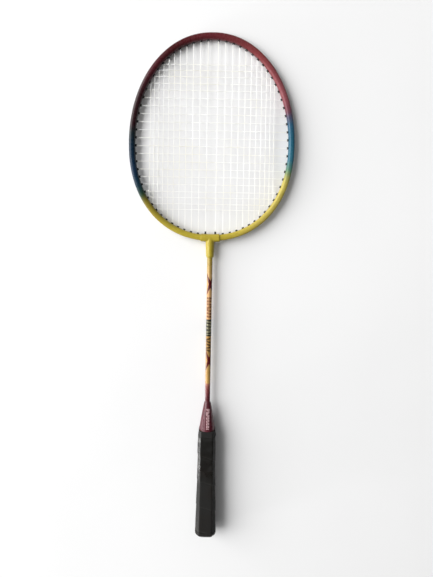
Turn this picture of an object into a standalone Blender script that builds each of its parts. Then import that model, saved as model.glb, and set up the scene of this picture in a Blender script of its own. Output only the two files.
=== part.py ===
"""Badminton racket with an external T-joint, lying flat as an assembly of separate pieces.

Metres, +Z up.  The strings lie level, +Y points from the butt of the handle to the top of
the head, and X runs across the head.  The origin is under the middle of the racket, on the
surface that the butt cap's underside rests on.

The hoop is a hollow tube with an outer groove, open at its two ends inside the T-joint.
Seventy-two holes take the grommets.  Twenty-two mains and twenty-one crosses leave through
them, and the outermost mains and crosses share holes at the four shoulders of the head.
"""
import math

import bmesh
import bpy
from mathutils import Vector

MM = 0.001

# Overall
OVERALL_LENGTH = 670.0 * MM
AXIS_HEIGHT = 13.7 * MM            # the strings' level above the surface

# Hoop: the centreline of its tube, measured from the head's centre
HOOP_HALF_WIDTH = 98.5 * MM
HOOP_TO_TOP = 122.4 * MM
HOOP_TO_BOTTOM = 116.4 * MM
HOOP_SQUARENESS = 2.11             # 2 is an ellipse, more is squarer
HOOP_EGG = -0.043                  # below 0 the widest place sits under the centre
HOOP_END_GAP = 0.5 * MM            # from the centre line to each cut end

# Tube section, upper half: out from the tube's centre and up from the strings' level
GROOVE_FLOOR = 2.35 * MM
GROOVE_HALF_WIDTH = 1.8 * MM
TUBE_HALF_WIDTH = 3.95 * MM
TUBE_OUTER_HALF = [
    (GROOVE_FLOOR, GROOVE_HALF_WIDTH), (3.9 * MM, GROOVE_HALF_WIDTH), (3.3 * MM, 3.4 * MM),
    (1.6 * MM, 4.7 * MM), (-1.6 * MM, 4.7 * MM), (-3.3 * MM, 3.4 * MM), (-TUBE_HALF_WIDTH, 1.9 * MM),
]
TUBE_INNER_HALF = [(1.5 * MM, 2.3 * MM), (0.9 * MM, 3.7 * MM), (-1.3 * MM, 3.8 * MM), (-3.1 * MM, 2.0 * MM)]

# Strings
STRING_RADIUS = 0.35 * MM
MAINS_PER_SIDE = 11
FIRST_MAIN = 6.2 * MM              # the middle pair stands clear of the T-joint's stem
MAIN_STEP = 9.4 * MM
MAIN_EASE = 0.235 * MM             # the mains close up towards the sides
MAIN_SPLAY = 0.022                 # and stand wider at the bottom than at the top
CROSS_MIDDLE = 5.4 * MM
CROSS_STEP = 9.45 * MM
CROSS_EASE = 0.004 * MM            # the crosses close up towards both ends
SIDE_CROSSES = range(6, -8, -1)    # crosses with holes of their own, from the top down
SHARED_TOP = range(7, 11)          # mains whose top holes also take a cross
SHARED_BOTTOM = (10, 9, 8)         # mains whose bottom holes also take a cross
WEAVE_HEIGHT = 1.0 * MM            # a cross rises or dips this much at each main
LANE_HEIGHT = 0.5 * MM             # mains keep above the level in the holes, crosses below

# Grommets
HOLE_SIDES = 6
HOLE_RADIUS = 1.75 * MM
BARREL_RADIUS = 1.5 * MM
BORE_RADIUS = 1.15 * MM
BARREL_LIP = 1.6 * MM              # how far a barrel stands out of the hoop's inner side
RAIL_BOTTOM = GROOVE_FLOOR + 0.2 * MM
RAIL_TOP = RAIL_BOTTOM + 0.5 * MM
RAIL_HALF_WIDTH = 1.55 * MM
RAIL_END_GAP = 0.35 * MM
RAIL_END_X = 12.55 * MM            # the rails stop short of the T-joint
STRIPS_PER_SIDE = 5
STRING_SEAT = RAIL_TOP + STRING_RADIUS + 0.15 * MM
MOUTH = -(TUBE_HALF_WIDTH + BARREL_LIP)  # where a barrel ends, out from the tube's centre
MOUTH_CLEARANCE = 0.4 * MM         # a string turns this far outside a barrel's mouth
CROSSING_MARGIN = 2.0 * MM         # strings cross only this far inside both of their holes

# T-joint
SLEEVE_HALF_LENGTH = 12.0 * MM
SLEEVE_GAP = 0.3 * MM
SLEEVE_WALL = 0.75 * MM
SLEEVE_OUTSIDE = TUBE_HALF_WIDTH + SLEEVE_GAP + SLEEVE_WALL
STEM_LENGTH = 25.4 * MM            # from the hoop's centreline to the stem's mouth
STEM_PROFILE = [(0.0, 5.7 * MM), (5.2 * MM, 5.7 * MM), (7.0 * MM, 5.6 * MM), (12.0 * MM, 5.3 * MM),
                (STEM_LENGTH - 1.0 * MM, 4.8 * MM), (STEM_LENGTH, 4.4 * MM)]
SPIGOT_HALF_LENGTH = 11.0 * MM
SPIGOT_FIT = (0.86, 0.92)          # of the tube's inside, across and in height
T_GROMMET_LIP = 2.0 * MM
T_GROMMET_FLANGE = 0.5 * MM
T_GROMMET_REACH = 2.9 * MM         # how far its barrel stands out of the sleeve
T_GROMMET_GAP = 0.25 * MM          # between the flange and the sleeve
STRING_OVER_SLEEVE = 0.2 * MM      # gap under the string that runs along the T-joint
STRING_PAST_SLEEVE = 0.5 * MM

# Shaft
SHAFT_RADIUS = 3.5 * MM
SHAFT_WALL = 0.6 * MM
SHAFT_TOP = -123.0 * MM            # along the racket from the head's centre, as below
SHAFT_BOTTOM = -470.0 * MM
SLIP_GAP = 0.3 * MM                # between pieces that touch

# Cone cap
CONE_TOP = -339.2 * MM
CONE_BASE = -379.4 * MM
CONE_TOP_RADIUS = 3.98 * MM
CONE_BASE_RADIUS = 10.9 * MM
CONE_CURVE = 0.85                  # below 1 the cone swells out early
CONE_WALL = 1.6 * MM
CONE_RINGS = 6
CONE_HOLLOW = (0.66, 0.86)         # down the cone, and the share of the base's hollow there
CONE_BORE_END = 0.3                # down the cone, where the shaft's bore opens out

# Handle
CORE_SIZE = (21.8 * MM, 19.6 * MM)       # across the racket, and through it
CORE_CHAMFER = 3.3 * MM
NECK_SIZE = 14.0 * MM
NECK_TOP = -367.0 * MM
GRIP_TOP = -379.8 * MM
CORE_BOTTOM = -533.0 * MM
FLARE_START = -425.0 * MM
FLARE_END = -530.0 * MM
FLARE_GROWTH = 1.8 * MM
BAND_BOTTOM = -388.6 * MM
BAND_THICKNESS = 0.55 * MM
WRAP_TOP = BAND_BOTTOM - SLIP_GAP
WRAP_BOTTOM = -532.9 * MM
WRAP_PITCH = 38.5 * MM
WRAP_THIN = 1.15 * MM
WRAP_THICK = 1.75 * MM
WRAP_STEP = 0.5 * MM               # length over which the tape's edge drops
WRAP_COLUMNS = 16
WRAP_ROWS = 4
WRAP_PHASE = 0.77                  # where the first edge starts, in turns

# Octagons: how a corner's cut grows with an even growth of all sides, and the cut of a regular one
CHAMFER_GROWTH = 2 - math.sqrt(2)
REGULAR_CHAMFER = 1 - math.sqrt(0.5)

# Butt cap
CAP_SIZE = (29.6 * MM, 2.0 * AXIS_HEIGHT)
CAP_CHAMFER = 5.0 * MM
CAP_ROUNDING = [(0.0, 0.0), (4.2 * MM, 0.0), (7.4 * MM, 0.9 * MM), (9.3 * MM, 2.7 * MM),
                (10.4 * MM, 5.4 * MM)]
BOSS_SIZE = 10.0 * MM
BOSS_LENGTH = 7.0 * MM

HEAD_CENTRE_Y = OVERALL_LENGTH / 2 - HOOP_TO_TOP - TUBE_HALF_WIDTH
CAP_TOP = -OVERALL_LENGTH / 2 - HEAD_CENTRE_Y + CAP_ROUNDING[-1][0]
ROUND_SIDES = 20


# ---------------------------------------------------------------- scene and materials

def clear_scene():
    for item in list(bpy.data.objects):
        bpy.data.objects.remove(item, do_unlink=True)


def make_material(name, colour, roughness, metallic=0.0):
    material = bpy.data.materials.new(name)
    material.use_nodes = True
    shader = material.node_tree.nodes["Principled BSDF"]
    shader.inputs["Base Color"].default_value = (*colour, 1.0)
    shader.inputs["Roughness"].default_value = roughness
    shader.inputs["Metallic"].default_value = metallic
    material.diffuse_color = (*colour, 1.0)
    return material


def add_object(name, bm, material, smooth_angle=None):
    """Make one object from a closed bmesh whose points are measured from the head's centre."""
    bmesh.ops.recalc_face_normals(bm, faces=bm.faces)
    mesh = bpy.data.meshes.new(name)
    bm.to_mesh(mesh)
    bm.free()
    if smooth_angle:
        mesh.shade_smooth()
        mesh.set_sharp_from_angle(angle=math.radians(smooth_angle))
    item = bpy.data.objects.new(name, mesh)
    bpy.context.scene.collection.objects.link(item)
    item.location = (0.0, HEAD_CENTRE_Y, AXIS_HEIGHT)
    if material:
        mesh.materials.append(material)
    return item


def add_cutter(name, bm):
    cutter = add_object(name, bm, None)
    cutter.hide_render = True
    cutter.display_type = "WIRE"
    return cutter


def combine(item, operation, other):
    modifier = item.modifiers.new(other.name, "BOOLEAN")
    modifier.operation = operation
    modifier.object = other


# ---------------------------------------------------------------- the hoop's curve

def signed_power(value, exponent):
    return math.copysign(abs(value) ** exponent, value)


def hoop_point(turn):
    """Point of the tube's centreline; turn runs clockwise from the top, in radians."""
    exponent = 2.0 / HOOP_SQUARENESS
    reach = HOOP_TO_TOP if math.cos(turn) > 0 else HOOP_TO_BOTTOM
    x = HOOP_HALF_WIDTH * signed_power(math.sin(turn), exponent) * (1 + HOOP_EGG * math.cos(turn))
    return Vector((x, reach * signed_power(math.cos(turn), exponent), 0.0))


def hoop_directions(turn, nudge=0.004):
    """Clockwise and outward unit vectors of the centreline."""
    along = (hoop_point(turn + nudge) - hoop_point(turn - nudge)).normalized()
    return along, Vector((-along.y, along.x, 0.0))


def hoop_place(turn, outward, height=0.0):
    """Point beside the centreline, by its distance outward and its height."""
    return hoop_point(turn) + hoop_directions(turn)[1] * outward + Vector((0.0, 0.0, height))


def find_turn(coordinate, target, low, high, outward):
    """Turn at which a point beside the centreline has the wanted x (0) or y (1)."""
    rising = hoop_place(high, outward)[coordinate] > hoop_place(low, outward)[coordinate]
    for _ in range(50):
        middle = (low + high) / 2
        if (hoop_place(middle, outward)[coordinate] < target) == rising:
            low = middle
        else:
            high = middle
    return (low + high) / 2


# ---------------------------------------------------------------- holes and string layout

def main_x(index, splay):
    return (FIRST_MAIN + index * MAIN_STEP - index * index * MAIN_EASE) * (1 + splay)


def cross_y(index):
    return CROSS_MIDDLE + index * CROSS_STEP - index ** 3 * CROSS_EASE


def right_hole_turns():
    """Turns of the right-hand holes: the mains' top holes, the sides, the mains' bottom holes."""
    half, quarter = math.pi, math.pi / 2
    top = [find_turn(0, main_x(k, -MAIN_SPLAY), 0.0, quarter, MOUTH) for k in range(MAINS_PER_SIDE)]
    side = [find_turn(1, cross_y(j), 0.3, half - 0.3, MOUTH) for j in SIDE_CROSSES]
    bottom = [find_turn(0, main_x(k, MAIN_SPLAY), quarter, half, MOUTH) for k in range(MAINS_PER_SIDE)]
    return top, side, bottom


TOP_HOLES, SIDE_HOLES, BOTTOM_HOLES = right_hole_turns()
RIGHT_HOLES = TOP_HOLES + SIDE_HOLES + BOTTOM_HOLES[::-1]
CROSS_HOLES = [TOP_HOLES[k] for k in SHARED_TOP] + SIDE_HOLES + [BOTTOM_HOLES[k] for k in SHARED_BOTTOM]


def cell_bounds():
    """Turns between the holes of the right side, from the top to the hoop's cut end."""
    middles = [(a + b) / 2 for a, b in zip(RIGHT_HOLES, RIGHT_HOLES[1:])]
    cut_end = find_turn(0, HOOP_END_GAP, math.pi / 2, math.pi, 0.0)
    return [0.0] + middles + [cut_end]


CELLS = cell_bounds()


# ---------------------------------------------------------------- mesh helpers

def full_section(upper_half):
    """Mirror the upper half of a section, giving a ring that runs from the groove inwards."""
    return upper_half + [(u, -w) for u, w in reversed(upper_half)]


def add_ring(bm, turn, section):
    return [bm.verts.new(hoop_place(turn, u, w)) for u, w in section]


def add_strip(bm, ring_a, ring_b, skip=()):
    """Join two rings with quads, leaving out the listed sides."""
    count = len(ring_a)
    for i in range(count):
        if i not in skip:
            j = (i + 1) % count
            bm.faces.new((ring_a[i], ring_b[i], ring_b[j], ring_a[j]))


def pierce(turn, start, end, radius):
    """Rim where a round hole through the hoop at this turn meets the flat wall from start to end."""
    along, outward = hoop_directions(turn)
    wall = end - start
    rim = []
    for i in range(HOLE_SIDES):
        angle = math.tau * i / HOLE_SIDES
        base = hoop_point(turn) + along * (radius * math.cos(angle))
        to_start = start - base
        distance = (to_start.x * wall.y - to_start.y * wall.x) / (outward.x * wall.y - outward.y * wall.x)
        rim.append(base + outward * distance + Vector((0.0, 0.0, radius * math.sin(angle))))
    return rim


def add_pierced_quad(bm, corners, rim):
    """Fill a flat quad around a rim; corners lie ahead-up, behind-up, behind-down, ahead-down."""
    owner = [int(4 * i / len(rim)) for i in range(len(rim))]
    for i, vertex in enumerate(rim):
        j = (i + 1) % len(rim)
        here, there = corners[owner[i]], corners[owner[j]]
        if here is not there:
            bm.faces.new((vertex, here, there))
        bm.faces.new((vertex, there, rim[j]))


def fill_end(bm, *rings):
    """Close a flat end that is bounded by one ring, or by one ring inside another."""
    edges = []
    for ring in rings:
        pairs = zip(ring, ring[1:] + ring[:1])
        edges += [bm.edges.get(pair) or bm.edges.new(pair) for pair in pairs]
    bmesh.ops.triangle_fill(bm, use_beauty=True, edges=edges)


def sweep_section(section, turns):
    """Solid bar of a constant section along the hoop's curve."""
    bm = bmesh.new()
    rings = [add_ring(bm, turn, section) for turn in turns]
    for ring_a, ring_b in zip(rings, rings[1:]):
        add_strip(bm, ring_a, ring_b)
    bm.faces.new(rings[0])
    bm.faces.new(rings[-1])
    return bm


def turned(profile, centre, axis, sides=ROUND_SIDES, closed=False):
    """Turn (distance along, radius) points about an axis; closed gives a ring with a bore."""
    axis = axis.normalized()
    side_a = axis.orthogonal().normalized()
    side_b = axis.cross(side_a)
    bm = bmesh.new()
    rings = []
    for distance, radius in profile:
        angles = [math.tau * i / sides for i in range(sides)]
        spokes = [side_a * math.cos(a) + side_b * math.sin(a) for a in angles]
        rings.append([bm.verts.new(centre + axis * distance + spoke * radius) for spoke in spokes])
    for ring_a, ring_b in zip(rings, rings[1:] + (rings[:1] if closed else [])):
        add_strip(bm, ring_a, ring_b)
    if not closed:
        bm.faces.new(rings[0])
        bm.faces.new(rings[-1])
    return bm


def octagon(width, depth, chamfer, y):
    """Octagon with 45 degree corners, around the handle's axis at distance y."""
    a, b = width / 2, depth / 2
    corners = [(a, b - chamfer), (a - chamfer, b), (chamfer - a, b), (-a, b - chamfer),
               (-a, chamfer - b), (chamfer - a, -b), (a - chamfer, -b), (a, chamfer - b)]
    return [Vector((x, y, z)) for x, z in corners]


def grown_octagon(growth, y):
    """The handle core's octagon, larger by the growth on every side."""
    width, depth = CORE_SIZE
    return octagon(width + 2 * growth, depth + 2 * growth, CORE_CHAMFER + CHAMFER_GROWTH * growth, y)


def loft(outlines):
    """Solid through outlines that have the same number of points."""
    bm = bmesh.new()
    rings = [[bm.verts.new(point) for point in outline] for outline in outlines]
    for ring_a, ring_b in zip(rings, rings[1:]):
        add_strip(bm, ring_a, ring_b)
    bm.faces.new(rings[0])
    bm.faces.new(rings[-1])
    return bm


def string_tube(route):
    """Square-sided tube along a route that never runs straight up."""
    up = Vector((0.0, 0.0, 1.0))
    bm = bmesh.new()
    rings = []
    for i, point in enumerate(route):
        before = route[max(i - 1, 0)]
        after = route[min(i + 1, len(route) - 1)]
        into = (point - before).normalized() if i else Vector()
        out = (after - point).normalized() if i < len(route) - 1 else Vector()
        side = (into + out).cross(up).normalized()
        lift = side.cross(into + out).normalized()
        spokes = (side + lift, lift - side, -side - lift, side - lift)
        rings.append([bm.verts.new(point + spoke * (STRING_RADIUS * math.sqrt(0.5))) for spoke in spokes])
    for ring_a, ring_b in zip(rings, rings[1:]):
        add_strip(bm, ring_a, ring_b)
    bm.faces.new(rings[0])
    bm.faces.new(rings[-1])
    return bm


# ---------------------------------------------------------------- head

def make_head_frame(material):
    """Hollow tube hoop: one flat-walled cell for each hole, open at both cut ends."""
    outer_section, inner_section = full_section(TUBE_OUTER_HALF), full_section(TUBE_INNER_HALF)
    # Sides that carry holes: the inward wall in the middle of each ring, the groove floor last.
    outer_walls = (len(TUBE_OUTER_HALF) - 1, len(outer_section) - 1)
    inner_walls = (len(TUBE_INNER_HALF) - 1, len(inner_section) - 1)
    turns = [-turn for turn in reversed(CELLS)] + CELLS[1:]
    holes = [-turn for turn in reversed(RIGHT_HOLES)] + RIGHT_HOLES
    bm = bmesh.new()
    outer = [add_ring(bm, turn, outer_section) for turn in turns]
    inner = [add_ring(bm, turn, inner_section) for turn in turns]
    for cell, hole in enumerate(holes):
        add_strip(bm, outer[cell], outer[cell + 1], skip=outer_walls)
        add_strip(bm, inner[cell], inner[cell + 1], skip=inner_walls)
        for outer_wall, inner_wall in zip(outer_walls, inner_walls):
            rims = []
            for rings, wall in ((outer, outer_wall), (inner, inner_wall)):
                next_point = (wall + 1) % len(rings[cell])
                upper, lower = (wall, next_point) if wall != len(rings[cell]) - 1 else (next_point, wall)
                behind, ahead = rings[cell], rings[cell + 1]
                corners = (ahead[upper], behind[upper], behind[lower], ahead[lower])
                level_start, level_end = behind[upper].co.copy(), ahead[upper].co.copy()
                level_start.z = level_end.z = 0.0
                rim = [bm.verts.new(point) for point in pierce(hole, level_start, level_end, HOLE_RADIUS)]
                add_pierced_quad(bm, corners, rim)
                rims.append(rim)
            add_strip(bm, *rims)
    for end in (0, -1):
        fill_end(bm, outer[end], inner[end])
    return add_object("head_frame", bm, material, smooth_angle=38)


def make_grommet_strip(name, bounds, holes, material):
    """Flat rail in the hoop's groove with a bored barrel through each hole."""
    section = [(RAIL_TOP, RAIL_HALF_WIDTH), (RAIL_BOTTOM, RAIL_HALF_WIDTH),
               (RAIL_BOTTOM, -RAIL_HALF_WIDTH), (RAIL_TOP, -RAIL_HALF_WIDTH)]
    bm = bmesh.new()
    rings = [add_ring(bm, turn, section) for turn in bounds]
    for behind, ahead, hole in zip(rings, rings[1:], holes):
        add_strip(bm, behind, ahead, skip=(1, 3))
        rims = {}
        for name_of_rim, upper, lower, radius in (("bore", 0, 3, BORE_RADIUS),
                                                  ("barrel", 1, 2, BARREL_RADIUS)):
            start, end = behind[upper].co.copy(), ahead[upper].co.copy()
            start.z = end.z = 0.0
            rim = [bm.verts.new(point) for point in pierce(hole, start, end, radius)]
            corners = (ahead[upper], behind[upper], behind[lower], ahead[lower])
            add_pierced_quad(bm, corners, rim)
            rims[name_of_rim] = rim
        mouth = hoop_place(hole, MOUTH)
        across = hoop_directions(hole)[0]
        ends = {}
        for name_of_rim, radius in (("bore", BORE_RADIUS), ("barrel", BARREL_RADIUS)):
            end = [bm.verts.new(point) for point in pierce(hole, mouth, mouth + across, radius)]
            add_strip(bm, rims[name_of_rim], end)
            ends[name_of_rim] = end
        add_strip(bm, ends["bore"], ends["barrel"])
    bm.faces.new(rings[0])
    bm.faces.new(rings[-1])
    return add_object(name, bm, material)


def make_grommet_strips(material):
    """Five strips on each side; the holes inside the T-joint have grommets of their own."""
    holes = RIGHT_HOLES[:-1]
    bounds = CELLS[:-2] + [find_turn(0, RAIL_END_X, math.pi / 2, math.pi, 0.0)]
    per_strip = len(holes) // STRIPS_PER_SIDE
    gap_turn = RAIL_END_GAP / HOOP_HALF_WIDTH
    for strip in range(STRIPS_PER_SIDE):
        first = strip * per_strip
        strip_bounds = bounds[first:first + per_strip + 1]
        strip_bounds[0] += gap_turn
        if strip < STRIPS_PER_SIDE - 1:
            strip_bounds[-1] -= gap_turn
        strip_holes = holes[first:first + per_strip]
        make_grommet_strip(f"grommet_strip_right_{strip + 1}", strip_bounds, strip_holes, material)
        left_bounds = [-turn for turn in reversed(strip_bounds)]
        left_holes = [-turn for turn in reversed(strip_holes)]
        make_grommet_strip(f"grommet_strip_left_{strip + 1}", left_bounds, left_holes, material)


# ---------------------------------------------------------------- T-joint

def swollen_section(growth):
    """The tube's section without its groove, larger by the growth."""
    return [(u + growth * u / math.hypot(u, w), w + growth * w / math.hypot(u, w))
            for u, w in full_section(TUBE_OUTER_HALF[1:])]


def bottom_turns(half_length, steps=8):
    """Turns from one side of the hoop's bottom to the other."""
    last = find_turn(0, half_length, math.pi / 2, math.pi, 0.0)
    return [last + (math.tau - 2 * last) * i / steps for i in range(steps + 1)]


def make_t_joint(material, spigot_material):
    """Sleeve around the hoop's cut ends, the stem for the shaft, and the spigot inside the tube."""
    joint = add_object("t_joint", sweep_section(swollen_section(SLEEVE_GAP + SLEEVE_WALL),
                                                bottom_turns(SLEEVE_HALF_LENGTH)), material, smooth_angle=38)
    bottom = hoop_point(math.pi)
    down = Vector((0.0, -1.0, 0.0))
    stem = add_cutter("stem_shape", turned(STEM_PROFILE, bottom, down))
    tunnel = add_cutter("hoop_tunnel", sweep_section(swollen_section(SLEEVE_GAP),
                                                     bottom_turns(SLEEVE_HALF_LENGTH + 2 * MM)))
    bore_top = bottom + down * (-SHAFT_TOP - HOOP_TO_BOTTOM - SLIP_GAP)
    bore_profile = [(0.0, SHAFT_RADIUS + SLIP_GAP / 2), (STEM_LENGTH, SHAFT_RADIUS + SLIP_GAP / 2)]
    bore = add_cutter("shaft_bore", turned(bore_profile, bore_top, down))
    combine(joint, "UNION", stem)
    combine(joint, "DIFFERENCE", tunnel)
    combine(joint, "DIFFERENCE", bore)
    spigot_section = [(u * SPIGOT_FIT[0], w * SPIGOT_FIT[1]) for u, w in full_section(TUBE_INNER_HALF)]
    spigot = add_object("joint_spigot", sweep_section(spigot_section, bottom_turns(SPIGOT_HALF_LENGTH, 4)),
                        spigot_material)
    for side, turn in (("right", BOTTOM_HOLES[0]), ("left", -BOTTOM_HOLES[0])):
        outward = hoop_directions(turn)[1]
        profile = [(-4 * TUBE_HALF_WIDTH, HOLE_RADIUS), (2.2 * TUBE_HALF_WIDTH, HOLE_RADIUS)]
        hole = add_cutter(f"string_hole_{side}", turned(profile, hoop_point(turn), outward, 8))
        combine(joint, "DIFFERENCE", hole)
        combine(spigot, "DIFFERENCE", hole)


def make_t_grommets(material):
    """Long flanged grommets through the sleeve, the tube and the spigot."""
    inner_face = -(SLEEVE_OUTSIDE + T_GROMMET_GAP)
    flange = inner_face - T_GROMMET_FLANGE
    profile = [(inner_face - T_GROMMET_REACH, BORE_RADIUS), (inner_face - T_GROMMET_REACH, BARREL_RADIUS),
               (flange, BARREL_RADIUS), (flange, T_GROMMET_LIP),
               (inner_face, T_GROMMET_LIP), (inner_face, BARREL_RADIUS),
               (SLEEVE_OUTSIDE, BARREL_RADIUS), (SLEEVE_OUTSIDE, BORE_RADIUS)]
    for side, turn in (("right", BOTTOM_HOLES[0]), ("left", -BOTTOM_HOLES[0])):
        outward = hoop_directions(turn)[1]
        bm = turned(profile, hoop_point(turn), outward, 8, closed=True)
        add_object(f"t_grommet_{side}", bm, material)


# ---------------------------------------------------------------- strings

def through_hole(turn, height):
    """Points from just inside a barrel's mouth out to the string's seat in the groove."""
    return [hoop_place(turn, MOUTH - MOUTH_CLEARANCE, height), hoop_place(turn, STRING_SEAT, height)]


def past_sleeve(turn, height):
    """The same for a middle main, which comes out through the T-joint and runs along it."""
    sign = 1.0 if hoop_point(turn).x > 0 else -1.0
    over = SLEEVE_OUTSIDE + STRING_RADIUS + STRING_OVER_SLEEVE
    edge = find_turn(0, SLEEVE_HALF_LENGTH + STRING_PAST_SLEEVE, math.pi / 2, math.pi, 0.0) * sign
    inside = -(SLEEVE_OUTSIDE + T_GROMMET_GAP + T_GROMMET_REACH + MOUTH_CLEARANCE)
    return [hoop_place(turn, inside, height), hoop_place(turn, over, height), hoop_place(edge, over, height)]


def seat_between(turn_a, turn_b, height):
    return [hoop_place((turn_a + turn_b) / 2, STRING_SEAT, height)]


def cross_level(index):
    """Height of the cross's straight run above the head's centre, along Y."""
    return hoop_place(CROSS_HOLES[index], MOUTH - MOUTH_CLEARANCE).y


def main_x_at(index, level):
    """Where a main of the right side passes a level of the string bed."""
    top = hoop_place(TOP_HOLES[index], MOUTH - MOUTH_CLEARANCE)
    bottom = hoop_place(BOTTOM_HOLES[index], MOUTH - MOUTH_CLEARANCE)
    return bottom.x + (top.x - bottom.x) * (level - bottom.y) / (top.y - bottom.y)


def crossings_of_main(index):
    """Crosses that pass a main, as positions along Y from the bottom up."""
    top = hoop_place(TOP_HOLES[index], MOUTH).y
    bottom = hoop_place(BOTTOM_HOLES[index], MOUTH).y
    levels = [cross_level(c) for c in range(len(CROSS_HOLES))]
    return sorted(level for level in levels if bottom + CROSSING_MARGIN < level < top - CROSSING_MARGIN)


def main_route():
    """One string: up the leftmost main, over the top, down the next, and so on to the right."""
    route = []
    columns = [-(k + 1) for k in reversed(range(MAINS_PER_SIDE))] + [k + 1 for k in range(MAINS_PER_SIDE)]
    previous_turn = None
    for step, column in enumerate(columns):
        side, index = math.copysign(1, column), abs(column) - 1
        top, bottom = TOP_HOLES[index] * side, BOTTOM_HOLES[index] * side
        at_bottom = past_sleeve if index == 0 else through_hole
        levels = crossings_of_main(index)
        bed = [Vector((main_x_at(index, level) * side, level, 0.0)) for level in (levels[0], levels[-1])]
        stretch = at_bottom(bottom, LANE_HEIGHT)[::-1] + bed + through_hole(top, LANE_HEIGHT)
        entry, leave = (bottom, top) if step % 2 == 0 else (top, bottom)
        if step and (entry == top or 0 not in (index, abs(columns[step - 1]) - 1)):
            route += seat_between(previous_turn, entry, LANE_HEIGHT)
        route += stretch if step % 2 == 0 else stretch[::-1]
        previous_turn = leave
    return route


def cross_route():
    """One string: along the top cross to the right, down the groove, back to the left, and so on."""
    route = []
    for row, turn in enumerate(CROSS_HOLES):
        level = cross_level(row)
        reach = hoop_place(turn, MOUTH).x - CROSSING_MARGIN
        right = [main_x_at(k, level) for k in range(MAINS_PER_SIDE)]
        columns = sorted(side * x for side in (-1, 1) for x in right if x < reach)
        # Every cross starts from the same column, so that neighbours weave the opposite way.
        first = MAINS_PER_SIDE - len(columns) // 2
        bed = []
        for place, x in enumerate(columns):
            rise = WEAVE_HEIGHT if (place + first + row) % 2 else -WEAVE_HEIGHT
            bed.append(Vector((x, level, rise)))
        stretch = through_hole(-turn, -LANE_HEIGHT)[::-1] + bed + through_hole(turn, -LANE_HEIGHT)
        heading_right = row % 2 == 0
        if row:
            side = -1 if heading_right else 1
            route += seat_between(side * CROSS_HOLES[row - 1], side * turn, -LANE_HEIGHT)
        route += stretch if heading_right else stretch[::-1]
    return route


# ---------------------------------------------------------------- shaft and cone cap

def make_shaft(material):
    length = SHAFT_TOP - SHAFT_BOTTOM
    inner = SHAFT_RADIUS - SHAFT_WALL
    profile = [(0.0, inner), (0.0, SHAFT_RADIUS), (length, SHAFT_RADIUS), (length, inner)]
    bm = turned(profile, Vector((0.0, SHAFT_TOP, 0.0)), Vector((0.0, -1.0, 0.0)), closed=True)
    add_object("shaft", bm, material, smooth_angle=38)


def make_cone_cap(material):
    """Hollow tapered cap over the handle's neck, with a bore for the shaft at its tip."""
    length = CONE_TOP - CONE_BASE
    outside = []
    for i in range(CONE_RINGS + 1):
        part = i / CONE_RINGS
        radius = CONE_TOP_RADIUS + (CONE_BASE_RADIUS - CONE_TOP_RADIUS) * part ** CONE_CURVE
        outside.append((length * part, radius))
    bore = SHAFT_RADIUS + SLIP_GAP / 2
    hollow = CONE_BASE_RADIUS - CONE_WALL
    inside = [(length, hollow), (length * CONE_HOLLOW[0], hollow * CONE_HOLLOW[1]),
              (length * CONE_BORE_END, bore), (0.0, bore)]
    bm = turned(outside + inside, Vector((0.0, CONE_TOP, 0.0)), Vector((0.0, -1.0, 0.0)), closed=True)
    add_object("cone_cap", bm, material, smooth_angle=38)


# ---------------------------------------------------------------- handle

def smooth_step(value):
    value = min(max(value, 0.0), 1.0)
    return value * value * (3 - 2 * value)


def flare(y):
    """How much the handle has grown on each side at this place."""
    return FLARE_GROWTH * smooth_step((FLARE_START - y) / (FLARE_START - FLARE_END))


def make_handle_core(material):
    """Wooden octagon with a neck for the cone cap, a shaft bore and a recess for the cap's boss."""
    neck_chamfer = NECK_SIZE * REGULAR_CHAMFER
    outlines = [octagon(NECK_SIZE, NECK_SIZE, neck_chamfer, y) for y in (NECK_TOP, GRIP_TOP)]
    stations = [GRIP_TOP, FLARE_START]
    stations += [FLARE_START + (FLARE_END - FLARE_START) * i / 4 for i in (1, 2, 3, 4)]
    outlines += [grown_octagon(flare(y), y) for y in stations + [CORE_BOTTOM]]
    core = add_object("handle_core", loft(outlines), material)
    down = Vector((0.0, -1.0, 0.0))
    bore_radius = SHAFT_RADIUS + SLIP_GAP / 2
    bore = turned([(-2 * MM, bore_radius), (NECK_TOP - SHAFT_BOTTOM + SLIP_GAP, bore_radius)],
                  Vector((0.0, NECK_TOP, 0.0)), down)
    recess_size = BOSS_SIZE + 2 * SLIP_GAP
    recess = loft([octagon(recess_size, recess_size, recess_size * REGULAR_CHAMFER, y)
                   for y in (CAP_TOP + BOSS_LENGTH + SLIP_GAP, CAP_TOP - BOSS_LENGTH)])
    combine(core, "DIFFERENCE", add_cutter("core_bore", bore))
    combine(core, "DIFFERENCE", add_cutter("boss_recess", recess))


def wrap_point(strand, y, thickness):
    """Point of the wrap's outer surface on one of its columns round the octagon."""
    corners = grown_octagon(SLIP_GAP + flare(y) + thickness, y)
    column = strand % WRAP_COLUMNS
    here, there = corners[column // 2], corners[(column // 2 + 1) % 8]
    return (here + there) / 2 if column % 2 else here


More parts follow.
